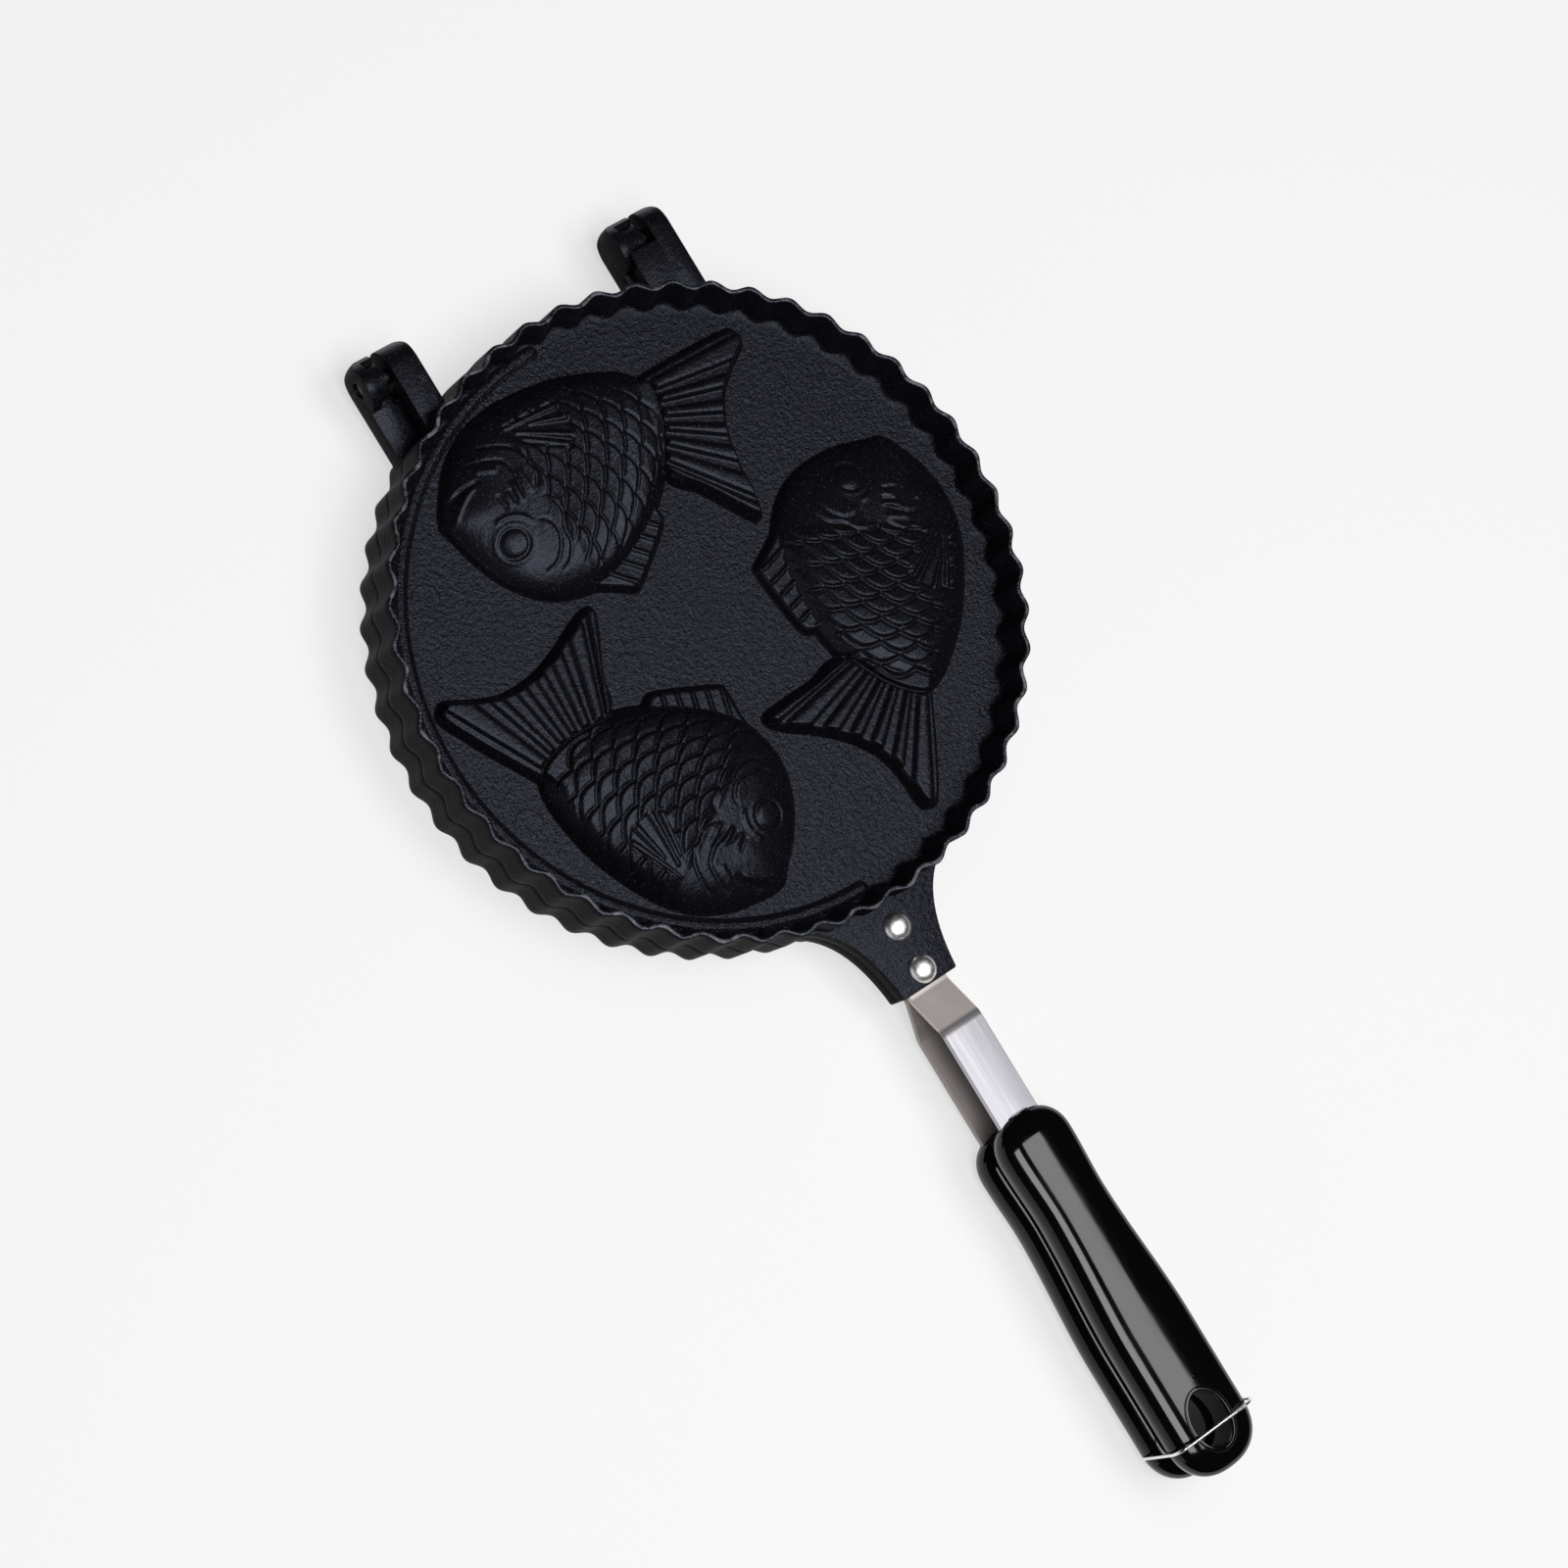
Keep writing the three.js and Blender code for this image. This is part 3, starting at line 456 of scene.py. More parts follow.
def tail_bars(x, y, edge):
    """Raised bars, each between two directions, that fan out over the tail and stop short of its edge."""
    turn = np.degrees(np.arctan2(y - TAIL_APEX[1], x - TAIL_APEX[0]))
    reach = np.radians(np.hypot(x - TAIL_APEX[0], y - TAIL_APEX[1]))
    height = np.zeros(x.shape)
    for high, low in TAIL_BARS:
        margin = np.minimum(high - turn, turn - low) * reach
        height = np.maximum(height, smooth(-0.25, 0.45, margin) * (
            1 + TAIL_BAR_FILLS * np.clip(margin, 0, TAIL_BAR_FLAT)))
    return height * smooth(0.9, 1.9, edge)


# Lines of the head: points with a step's height, and points with a ridge's rise and width
STEPS = [
    ([(-40.5, 77.8), (-36.5, 76.8), (-32.5, 74.8), (-29.5, 72.5), (-27.6, 69.5), (-27, 66), (-27.2, 62.5),
      (-28.2, 60), (-29.6, 57.4)], 0.7),
    ([(-45.3, 74.5), (-42.4, 74), (-39, 73), (-35, 71), (-33.7, 69.5), (-33, 66.5), (-33.2, 63.5), (-34, 60),
      (-34.5, 57)], 0.6),
    ([(-34.5, 50), (-32, 49), (-30.5, 46), (-30.5, 43), (-32.5, 39), (-35.5, 36), (-40, 35)], 0.55),
    ([(-29.7, 54.4), (-28.2, 55.3), (-26.2, 53.6), (-25.8, 51), (-26.6, 47), (-28.2, 44), (-28.3, 39.8),
      (-29.7, 37), (-32, 34.3), (-35.5, 33)], 0.55),
]
RIDGES = [
    ([(-59, 61.3), (-56, 61), (-52.3, 64), (-48.5, 66.5), (-44.5, 68.3)], 0.6, 0.8),
    ([(-43, 72), (-37, 68.8)], 0.5, 0.75),
    ([(-35.1, 64), (-35, 56.5)], 0.45, 0.6),
    ([(-31.2, 66.5), (-31, 57.5)], 0.4, 0.75),
    ([(-38.4, 61.5), (-38.6, 57)], 0.35, 0.6),
    ([(-41, 62.5), (-40.2, 57)], -0.5, 0.5),
    ([(-36.7, 62), (-36.8, 57)], -0.5, 0.45),
    ([(-35.7, 49.6), (-37, 52.3), (-39.8, 54.4), (-43.5, 55.2), (-46.5, 54.6)], 0.45, 0.65),
]
MOUTH = [(-58.8, 63), (-57.3, 64), (-53.8, 67), (-49.8, 68.4), (-43.6, 68.8)]
MOUTH_DEEP, MOUTH_FADES, MOUTH_WIDE, MOUTH_NARROWS = 1.7, 1.1, 1.5, 0.95
EYE, EYE_RADIUS, EYE_GROOVE, EYE_RING = (-43.7, 47.2), 4.0, 4.5, 5.7
EYE_RISE, EYE_GROOVE_DEEP, EYE_RING_RISE = 0.62, 0.32, 0.2
EYE_GROOVE_WIDE, EYE_RING_WIDE = 0.45, 0.8
STEP_HIGH, STEP_FADES, STEP_DEEP, STEP_NARROW = 0.75, 2.6, 0.85, 0.55


def head_details(x, y):
    """Gill covers, cheek, mouth and eye."""
    height = np.zeros(x.shape)
    for points, step in STEPS:
        near, side, share = line_field(spline(points), x, y)
        ends = smooth(0, 0.12, share) * smooth(1, 0.88, share)
        crest = STEP_HIGH * np.exp(-near / STEP_FADES) * (side < 0)
        height += ends * step * (crest - STEP_DEEP * np.exp(-(near / STEP_NARROW) ** 2))
    for points, rise, wide in RIDGES:
        near, _, share = line_field(spline(points), x, y)
        height += rise * np.exp(-(near / wide) ** 2) * smooth(0, 0.15, share) * smooth(1, 0.85, share)
    near, _, share = line_field(spline(MOUTH), x, y)
    wide = MOUTH_WIDE - MOUTH_NARROWS * share
    height -= (MOUTH_DEEP - MOUTH_FADES * share) * np.exp(-(near / wide) ** 2)
    eye = np.hypot(x - EYE[0], y - EYE[1])
    height += EYE_RISE * np.sqrt(np.clip(1 - (eye / EYE_RADIUS) ** 2, 0, 1))
    height -= EYE_GROOVE_DEEP * np.exp(-((eye - EYE_GROOVE) / EYE_GROOVE_WIDE) ** 2)
    height += EYE_RING_RISE * np.exp(-((eye - EYE_RING) / EYE_RING_WIDE) ** 2)
    return height


PECTORAL = [(-29, 79.6), (-9.6, 78.7), (-7.8, 73.5), (-9.6, 67.5), (-13, 63.4), (-24.8, 71.5), (-27.6, 76)]
RAYS = [
    [(-28, 78.5), (-10.2, 77.4)], [(-20.5, 76.2), (-9, 72.8)], [(-25.5, 75.8), (-10.5, 67)],
    [(-24.6, 73), (-13.6, 65)],
]
RAY_BED, RAY_RISE, RAY_WIDE, RAY_GROWS, RAY_FOOT = -0.15, 0.55, 0.45, 0.5, 1.25


def pectoral_fin(x, y):
    """Where the side fin lies, and the height of its four rays."""
    mask = smooth(-0.4, 0.4, signed(np.array(PECTORAL, float), x, y))
    height = np.full(x.shape, RAY_BED)
    for ray in RAYS:
        near, _, share = line_field(np.array(ray, float), x, y)
        round_top = np.sqrt(np.clip(1 - (near / (RAY_WIDE + RAY_GROWS * share) / RAY_FOOT) ** 2, 0, 1))
        height = np.maximum(height, (RAY_RISE + RAY_GROWS * share) * round_top)
    return mask, height


COLLAR_RISE, EDGE_DROP = 1.1, 0.4
FIN_BAR_PITCH, FIN_BAR_SHIFT, FIN_BAR_DEEP = 4.8, 3.2, 0.75


def fish_height(x, y, body_scale=1.0, tail_scale=1.0, deeper=0.0, detail=1.0):
    """Height of one fish above the floor of the dish, and the distance inside its outline."""
    def scaled(outline, centre, scale):
        centre = np.array(centre)
        return (spline(outline, closed=True) - centre) * scale + centre

    body = scaled(BODY_OUTLINE, BODY_CENTRE, body_scale)
    tail = scaled(TAIL_OUTLINE, TAIL_CENTRE, tail_scale)
    fin = scaled(FIN_OUTLINE, FIN_CENTRE, tail_scale)
    body_edge, tail_edge, fin_edge = (signed(line, x, y) for line in (body, tail, fin))
    share = share_of(body, BODY_CENTRE, x, y)
    dome = np.where(body_edge > 0, body_dome(x, share, CROWN + deeper), 0)
    near, side, _ = line_field(spline(TAIL_BASE), x, y)
    beyond = near * np.where(side > 0, 1, -1)
    root = smooth(0.3, 2.5, tail_edge) * smooth(0.3, -0.3, beyond)
    collar = np.maximum(dome, (TAIL_RISE + deeper + COLLAR_RISE) * root)

    fin_mask, rays = pectoral_fin(x, y)
    clad = scales(x, y) * np.maximum(smooth(0.95, 0.83, share), root) * smooth(-29, -24.5, x + 0.03 * (y - 50))
    face = head_details(x, y) * smooth(0.985, 0.86, share) * smooth(-17, -22, x)
    relief = clad * (1 - fin_mask) + rays * fin_mask + face * (1 - 0.6 * fin_mask)
    dressed = np.where(body_edge > 0, np.maximum(collar + detail * relief, 0), 0)

    tail_side = (TAIL_RISE + deeper - EDGE_DROP) * np.clip(tail_edge / 1.5, 0, 1) ** 0.55
    over = smooth(-0.3, 0.5, beyond)
    tail_top = tail_side + detail * TAIL_BAR_RISE * tail_bars(x, y, tail_edge) * smooth(0.5, 1.6, beyond)
    tail_top = np.where(tail_edge > 0, tail_top, 0) * over
    fin_level = (FIN_RISE + deeper) * np.clip(fin_edge / 1.8, 0, 1) ** 0.6
    slant = np.cos(((x + y) * 0.7071 - FIN_BAR_SHIFT) / FIN_BAR_PITCH * 2 * math.pi)
    fin_top = fin_level - FIN_BAR_DEEP * smooth(0.9, 2.0, fin_edge) * (1 - detail * smooth(0.6, 0.97, slant))
    fin_top = np.where(fin_edge > 0, fin_top, 0)

    height = np.maximum(np.maximum(dressed * np.where(tail_edge > 0, 1 - over, 1), tail_top), fin_top)
    edge = np.maximum(np.maximum(body_edge, tail_edge), fin_edge)
    return height, edge


def soften(height):
    """Averages each point with its neighbours."""
    for axis in (0, 1):
        before, after = np.roll(height, 1, axis), np.roll(height, -1, axis)
        height = height * 0.5 + (before + after) * 0.25
    return height


FISH_X, FISH_Y = (-61.5, 62.5), (13.5, 91.5)
FILLET_RISE, FILLET_WIDE, FISH_MARGIN, FISH_SINKS = 0.5, 1.3, 1.5, 0.12
FISH_STEPS = {"upper": 0.32, "lower": 0.5}


def fish_mesh(step):
    """One fish as a fine grid over its outline, with a small fillet at its foot."""
    x, y = np.meshgrid(np.arange(*FISH_X, step), np.arange(*FISH_Y, step))
    height, edge = fish_height(x, y)
    fillet = FILLET_RISE * np.clip((edge + FILLET_WIDE) / FILLET_WIDE, 0, 1) ** 2
    height = soften(height) + fillet - FISH_SINKS
    keep = edge > -FISH_MARGIN
    index = np.full(x.shape, -1)
    index[keep] = np.arange(keep.sum())
    points = np.column_stack([x[keep], y[keep], PLATE + height[keep]])
    corner = [index[:-1, :-1], index[:-1, 1:], index[1:, 1:], index[1:, :-1]]
    whole = np.all([c >= 0 for c in corner], axis=0)
    faces = np.column_stack([c[whole] for c in corner])
    return points, faces


def turned(x, y, angle):
    """Points turned about the pan's axis."""
    return x * math.cos(angle) - y * math.sin(angle), x * math.sin(angle) + y * math.cos(angle)


FISH_TURNS = (0, -2 * math.pi / 3, 2 * math.pi / 3)


def fishes(half):
    """The three fish, a third of a turn apart."""
    points, faces = fish_mesh(FISH_STEPS[half])
    for i, angle in enumerate(FISH_TURNS):
        placed = np.column_stack([*turned(points[:, 0], points[:, 1], angle), points[:, 2]])
        piece(f"{half}_fish_{i + 1}", placed, faces, half, RELIEF_COATING)


# Solids that are carved, then bevelled

def evaluated(item):
    """Points and faces of an object with its modifiers applied."""
    bpy.context.view_layer.update()
    mesh = bpy.data.meshes.new_from_object(item.evaluated_get(bpy.context.evaluated_depsgraph_get()))
    points = np.empty(len(mesh.vertices) * 3)
    mesh.vertices.foreach_get("co", points)
    faces = [tuple(face.vertices) for face in mesh.polygons]
    bpy.data.meshes.remove(mesh)
    return points.reshape(-1, 3), faces


SHARP_ANGLE, BEVEL_SEGMENTS = math.radians(35), 3


def carved(body, cuts=(), joins=(), bevel=0.0):
    """A solid less its cuts and with its joins, its edges rounded."""
    base = mesh_object("carved", *body)
    tools = []
    for operation, solids in (("UNION", joins), ("DIFFERENCE", cuts)):
        for points, faces in solids:
            tool = mesh_object("tool", points, faces)
            tools.append(tool)
            step = base.modifiers.new("step", "BOOLEAN")
            step.operation = operation
            step.solver = "EXACT"
            step.object = tool
    if bevel:
        round_edges = base.modifiers.new("bevel", "BEVEL")
        round_edges.width = bevel
        round_edges.segments = BEVEL_SEGMENTS
        round_edges.limit_method = "ANGLE"
        round_edges.angle_limit = SHARP_ANGLE
        round_edges.miter_outer = "MITER_ARC"
    result = evaluated(base)
    for item in [base, *tools]:
        bpy.data.objects.remove(item)
    return result


def prism(outline, low, high, along="z"):
    """A closed outline pushed from low to high along an axis; outlines run anticlockwise."""
    outline = np.array(outline, float)
    area = np.sum(outline[:, 0] * np.roll(outline[:, 1], -1) - np.roll(outline[:, 0], -1) * outline[:, 1])
    if area < 0:
        outline = outline[::-1]
    count = len(outline)
    ends = [np.column_stack([outline, np.full(count, level)]) for level in (low, high)]
    points = np.vstack(ends)
    if along == "x":
        points = points[:, [2, 0, 1]]
    faces = [tuple(reversed(range(count))), tuple(range(count, 2 * count))]
    faces += [(i, (i + 1) % count, count + (i + 1) % count, count + i) for i in range(count)]
    return points, faces


def block(low, high):
    """A box between two corners."""
    (x0, y0, z0), (x1, y1, z1) = low, high
    return prism([(x0, y0), (x1, y0), (x1, y1), (x0, y1)], z0, z1)


def arc(centre, radius, start, end, steps):
    """Points along an arc between two angles in degrees."""
    turns = np.radians(np.linspace(start, end, steps + 1))
    return [(centre[0] + radius * math.cos(t), centre[1] + radius * math.sin(t)) for t in turns]


def sections(rings):
    """A solid through rings of equal counts, with flat ends."""
    points, faces = shell(rings)
    count = len(rings[0])
    return points, [*faces, tuple(reversed(range(count))), tuple(range(len(points) - count, len(points)))]


ROUND_ANGLE, SIDE_TILT = math.radians(50), 0.4


def crisp(item, angle=SHARP_ANGLE):
    """Keeps a piece's edges sharp where they turn by more than the angle."""
    item.data.set_sharp_from_angle(angle=angle)


def side_coated(item):
    """Gives the upright sides of a cast piece the wall's duller coating."""
    item.data.materials.append(WALL_COATING)
    for face in item.data.polygons:
        face.material_index = int(abs(face.normal.z) < SIDE_TILT)
    return item


# Hinge lugs and bracket

def hinge_arc(*turn):
    """An arc about the hinge's axis."""
    return arc((HINGE_Y, 0), *turn)


LUG_RADIUS, BARREL_RADIUS, FLANGE = 8.0, 6.1, 3.0
LUG_INNER, LUG_OUTER, LUG_ROOT = 38.0, 57.0, 84.0
WALL_MIDDLE = 100.6
LEFT_KNUCKLE, RIGHT_KNUCKLE, LUG_GAP = 7.2, 9.5, 2.6
PIN_RADIUS, BORE_RADIUS, PIN_INSET, BORE_FLOOR = 2.5, 2.6, 0.9, 2.0
LUG_CORNER, HINGE_STEPS = 3.5, 40
# How far a cutting solid passes what it cuts
OVERRUN = 1.0


def lug_side():
    """A lug from the side: level at the parting face, round at the hinge."""
    reach = math.degrees(math.asin(PARTING_FACE / LUG_RADIUS))
    nose = hinge_arc(LUG_RADIUS, 180 - reach, 450, HINGE_STEPS)
    return [(LUG_ROOT, PARTING_FACE), *nose, (LUG_ROOT, LUG_RADIUS)]


def bore():
    """What bores both lugs from outside, to a floor near their inner faces."""
    outline = hinge_arc(BORE_RADIUS, 0, 360, 32)[:-1]
    near, far = LUG_INNER + BORE_FLOOR, LUG_OUTER + OVERRUN
    return [prism(outline, low, high, "x") for low, high in ((-far, -near), (near, far))]


def wall_core():
    """The round of the pan inside the middle of its wall, where no lug shows."""
    return prism(arc((0, 0), WALL_MIDDLE, 0, 360, 180)[:-1], -LUG_RADIUS - OVERRUN, LUG_RADIUS + OVERRUN)


def far_corner(face, out):
    """What rounds off one far corner of a lug, seen from above."""
    end, inner = HINGE_Y + LUG_RADIUS, face - out * LUG_CORNER
    curve = [(inner + out * x, y) for x, y in arc((0, end - LUG_CORNER), LUG_CORNER, 90, 0, 8)]
    beyond = face + out * OVERRUN
    outline = [(beyond, end - LUG_CORNER), (beyond, end + OVERRUN), (inner, end + OVERRUN), *curve]
    return prism(outline, -LUG_RADIUS - OVERRUN, LUG_RADIUS + OVERRUN)


SHOULDER_INSET, SHOULDER_CLEARANCE = 1.8, 0.7
LEFT_BEVEL, RIGHT_BEVEL, KNUCKLE_BEVEL, WEB_BEVEL = 0.9, 0.8, 0.6, 0.3


def upper_lugs():
    """Plain blocks on the upper half, the right one with a shoulder that wraps the knuckle."""
    left = carved(prism(lug_side(), -LUG_OUTER + LEFT_KNUCKLE + LUG_GAP, -LUG_INNER, "x"),
                  [*bore(), far_corner(-LUG_INNER, 1), wall_core()], bevel=LEFT_BEVEL)
    start = LUG_INNER + RIGHT_KNUCKLE + LUG_GAP
    room = prism(hinge_arc(LUG_RADIUS + SHOULDER_CLEARANCE, 0, 360, 64)[:-1], LUG_INNER - OVERRUN, start, "x")
    shoulder = carved(block((LUG_INNER + SHOULDER_INSET, LUG_ROOT, PARTING_FACE),
                            (start + OVERRUN, HINGE_Y, LUG_RADIUS)), [room])
    right = carved(prism(lug_side(), start, LUG_OUTER, "x"),
                   [*bore(), far_corner(LUG_OUTER, 1), wall_core()], [shoulder], bevel=RIGHT_BEVEL)
    return [left, right]


def lower_lugs():
    """Knuckles with a full flange outside and a thinner barrel inside."""
    result = []
    outside = hinge_arc(LUG_RADIUS + OVERRUN, 180, 325, HINGE_STEPS)
    ring = outside + hinge_arc(BARREL_RADIUS, 325, 180, HINGE_STEPS)
    for low, high in ((-LUG_OUTER, -LUG_OUTER + LEFT_KNUCKLE), (LUG_INNER, LUG_INNER + RIGHT_KNUCKLE)):
        step = prism(ring, low + FLANGE, high + OVERRUN, "x")
        cuts = [step, *bore(), far_corner(low, -1), wall_core()]
        result.append(carved(prism(lug_side(), low, high, "x"), cuts, bevel=KNUCKLE_BEVEL))
    return result


WEB_TOP, WEB_LOW, WEB_REACH, WEB_CLEARANCE, WEB_OVERLAP = 1.5, 7.6, 5.6, 0.4, 0.3
FILLER_START, FILLER_GAP, FILLER_OVERLAP = 101.0, 0.25, 0.6


def slot_webs():
    """Webs at the bottom of the slots, joined to the lower knuckles and reaching under the blocks, which close the
    slots so that they stay dark.
    """
    clear = LUG_RADIUS + WEB_CLEARANCE
    high, low = (180 - math.degrees(math.asin(level / clear)) for level in (WEB_TOP, WEB_LOW))
    side = [(LUG_ROOT, WEB_TOP), *hinge_arc(clear, high, low, 8), (LUG_ROOT, WEB_LOW)]
    for i, near in enumerate((-LUG_OUTER + LEFT_KNUCKLE, LUG_INNER + RIGHT_KNUCKLE)):
        start = near - WEB_OVERLAP
        filler = block((start, FILLER_START, WEB_TOP),
                       (near + LUG_GAP - FILLER_GAP, HINGE_Y - BARREL_RADIUS + FILLER_OVERLAP, WEB_LOW))
        web = carved(prism(side, start, near + WEB_REACH, "x"), [wall_core()], [filler], bevel=WEB_BEVEL)
        crisp(side_coated(piece(f"lower_slot_web_{i + 1}", *web, "lower", RELIEF_COATING)))


def lugs(half):
    """Both hinge lugs of one half."""
    for i, solid in enumerate(upper_lugs() if half == "upper" else lower_lugs()):
        crisp(side_coated(piece(f"{half}_lug_{i + 1}", *solid, half, RELIEF_COATING)))
    if half == "lower":
        slot_webs()


BRACKET_TIP, BRACKET_WAIST, BRACKET_ROOT, BRACKET_TOP = (10.4, -131.4), (12.5, -106.0), (27.0, -98.5), 5.85
STRIP_HALF, STRIP_THICK, STRIP_LOW = 7.3, 2.3, 0.45
CHANNEL_START, CHANNEL_GAP, BRACKET_BEVEL = 104.7, 0.3, 0.7


def bent(first, corner, last, shares):
    """Points on the curve between two ends that a corner draws towards itself."""
    return [first * (1 - t) ** 2 + 2 * corner * t * (1 - t) + last * t ** 2 for t in shares]


def bracket(half):
    """The flat handle bracket, its flanks flaring into the rim, with the strip's channel below."""
    ends = [np.array(point) for point in (BRACKET_TIP, BRACKET_WAIST, BRACKET_ROOT)]
    flank = np.array(bent(*ends, np.linspace(0, 1, 16)))
    reach = math.degrees(math.atan2(-BRACKET_ROOT[1], BRACKET_ROOT[0]))
    outline = [*flank, *arc((0, 0), WALL_MIDDLE, -reach, reach - 180, 16), *(flank[::-1] * (-1, 1))]
    wide = STRIP_HALF + CHANNEL_GAP
    channel = block((-wide, BRACKET_TIP[1] - OVERRUN, -OVERRUN),
                    (wide, -CHANNEL_START, STRIP_LOW + STRIP_THICK + CHANNEL_GAP))
    body = carved(prism(outline, PARTING_FACE, BRACKET_TOP), [channel], bevel=BRACKET_BEVEL)
    crisp(side_coated(piece(f"{half}_bracket", *body, half, COATING)))


RIB_STEPS, RIB_END_STEPS = 90, 12


def capsule(centre, start, end, levels):
    """Rings round an arc-shaped bar with round ends: one ring for each (half width, z)."""
    side, tip = np.linspace(start, end, RIB_STEPS), np.linspace(0, math.pi, RIB_END_STEPS)[1:-1]
    first, last = (centre * np.array([math.cos(t), math.sin(t)]) for t in (start, end))
    rings = []
    for wide, z in levels:
        rings.append(np.vstack([circle(side, centre + wide, z), circle(end + tip, wide, z, last),
                                circle(side[::-1], centre - wide, z), circle(start + math.pi + tip, wide, z, first)]))
    return rings


SEAL_RADIUS, RIB_HALF, RIB_RISE = 95.7, 2.6, 1.35
SEAL_START, SEAL_END = math.radians(92.5), math.radians(268.5)
# Shares of the rib's half width and of its rise, from its foot to its top
RIB_SHAPE = [
    (1.01, -0.2), (1.0, 0.0), (0.93, 0.05), (0.84, 0.17), (0.42, 0.82), (0.32, 0.94), (0.2, 1.0), (0.02, 1.0),
]


def arc_rib(half):
    """The low rib at the foot of the wall, the back of the seal's groove."""
    turn = 0 if half == "upper" else math.pi
    levels = [(RIB_HALF * wide, PLATE + RIB_RISE * up) for wide, up in RIB_SHAPE]
    rings = capsule(SEAL_RADIUS, SEAL_START + turn, SEAL_END + turn, levels)
    piece(f"{half}_arc_rib", *shell(rings), half, COATING)


# Place, level and radius of each mark, and shares of the radius with rises
EJECTORS = [
    *((x, y, PLATE, 4.2) for x, y in (
        (-74.3, 46.6), (-83.4, -26.6), (2.8, -90.4), (-30.1, -1.6), (17.5, -26.8), (80, 43.3))),
    (-40.5, 103.6, LUG_RADIUS, 1.5), (51.5, 97.1, LUG_RADIUS, 1.5),
]
EJECTOR_SHAPE = [
    (1.12, -0.2), (1.1, -0.02), (1.03, 0.07), (0.98, 0.1), (0.92, 0.09), (0.84, 0.07), (0.5, 0.06), (0.02, 0.06),
]


def ejector_marks(half):
    """Faint round marks left on the casting."""
    turns = full_turn(40)
    for i, (x, y, level, radius) in enumerate(EJECTORS):
        if half == "lower" and level != PLATE:
            continue
        rings = [circle(turns, radius * wide, level + up, (x, y)) for wide, up in EJECTOR_SHAPE]
        piece(f"{half}_mark_{i + 1}", *shell(rings), half, COATING)


CAVITY_BODY, CAVITY_TAIL, CAVITY_DEEPER, CAVITY_DETAIL = 0.925, 0.84, 0.55, 0.8
SECTOR_STEPS = 240
FACE_RADII = np.concatenate([np.linspace(98.6, 92.4, 22), np.linspace(91.8, 4, 150), [2.4, 1.0]])
GROOVE_HALF, GROOVE_DEEP, TONGUE_HALF, TONGUE_TALL = 1.1, 2.2, 0.8, 1.6


def seal_profile(x, y, start):
    """Distance to the middle line of the arc-shaped seal that starts at an angle."""
    end = start + SEAL_END - SEAL_START
    turn = (np.arctan2(y, x) - start) % (2 * math.pi)
    tips = [SEAL_RADIUS * np.array([math.cos(t), math.sin(t)]) for t in (start, end)]
    to_tips = np.minimum(*(np.hypot(x - tip[0], y - tip[1]) for tip in tips))
    return np.where(turn < end - start, np.abs(np.hypot(x, y) - SEAL_RADIUS), to_tips)


def inner_face(half):
    """The face where the halves meet: the fish hollows, and the seal's groove and tongue."""
    turns = full_turn(3 * SECTOR_STEPS)
    x, y = (FACE_RADII[:, None] * part for part in (np.cos(turns), np.sin(turns)))
    hollow = np.zeros((len(FACE_RADII), SECTOR_STEPS))
    for angle in FISH_TURNS:
        around = turned(x[:, :SECTOR_STEPS], y[:, :SECTOR_STEPS], angle)
        height, edge = fish_height(*around, CAVITY_BODY, CAVITY_TAIL, CAVITY_DEEPER, CAVITY_DETAIL)
        hollow = np.maximum(hollow, height * smooth(-0.1, 0.6, edge))
    z = np.tile(PARTING_FACE + hollow, (1, 3))
    start = SEAL_START + (0 if half == "upper" else math.pi)
    z = z + GROOVE_DEEP * smooth(GROOVE_HALF + 0.1, GROOVE_HALF - 0.25, seal_profile(x, y, start))
    z = z - TONGUE_TALL * smooth(TONGUE_HALF + 0.1, TONGUE_HALF - 0.25, seal_profile(x, y, start + math.pi))
    points = np.column_stack([x.ravel(), y.ravel(), z.ravel()])
    points = np.vstack([points, [[0, 0, PARTING_FACE]]])
    count = len(turns)
    faces = flipped(ring_faces(len(FACE_RADII), count))
    start = (len(FACE_RADII) - 1) * count
    faces += [(start + (i + 1) % count, start + i, len(points) - 1) for i in range(count)]
    piece(f"{half}_inner_face", points, faces, half, COATING)


# Strip, rivets, grip, bail and pins

STRIP_START, STRIP_BEND, STRIP_RISEN, STRIP_END = 105.0, 133.2, 146.0, 236.0
STRIP_BEND_RADIUS, STRIP_EDGE_RADIUS, BEND_STEPS = 3.2, 0.4, 8


def rounded_line(points, radius):
    """A polyline with each inner corner turned into an arc."""
    points = [np.array(p, float) for p in points]
    line = [points[0]]
    for before, corner, after in zip(points, points[1:], points[2:]):
        into, out = (corner - before), (after - corner)
        into, out = into / np.linalg.norm(into), out / np.linalg.norm(out)
        turn = math.acos(np.clip(into @ out, -1, 1))
        reach = radius * math.tan(turn / 2)
        line += bent(corner - into * reach, corner, corner + out * reach, np.linspace(0, 1, BEND_STEPS + 1))
    line.append(points[-1])
    return np.array(line)


def rounded_box(half_wide, half_tall, radius):
    """The outline of a bar with rounded edges."""
    line = []
    for sx, sy, turn in ((1, 1, 0), (-1, 1, 90), (-1, -1, 180), (1, -1, 270)):
        line += arc((sx * (half_wide - radius), sy * (half_tall - radius)), radius, turn, turn + 90, 4)
    return np.array(line)


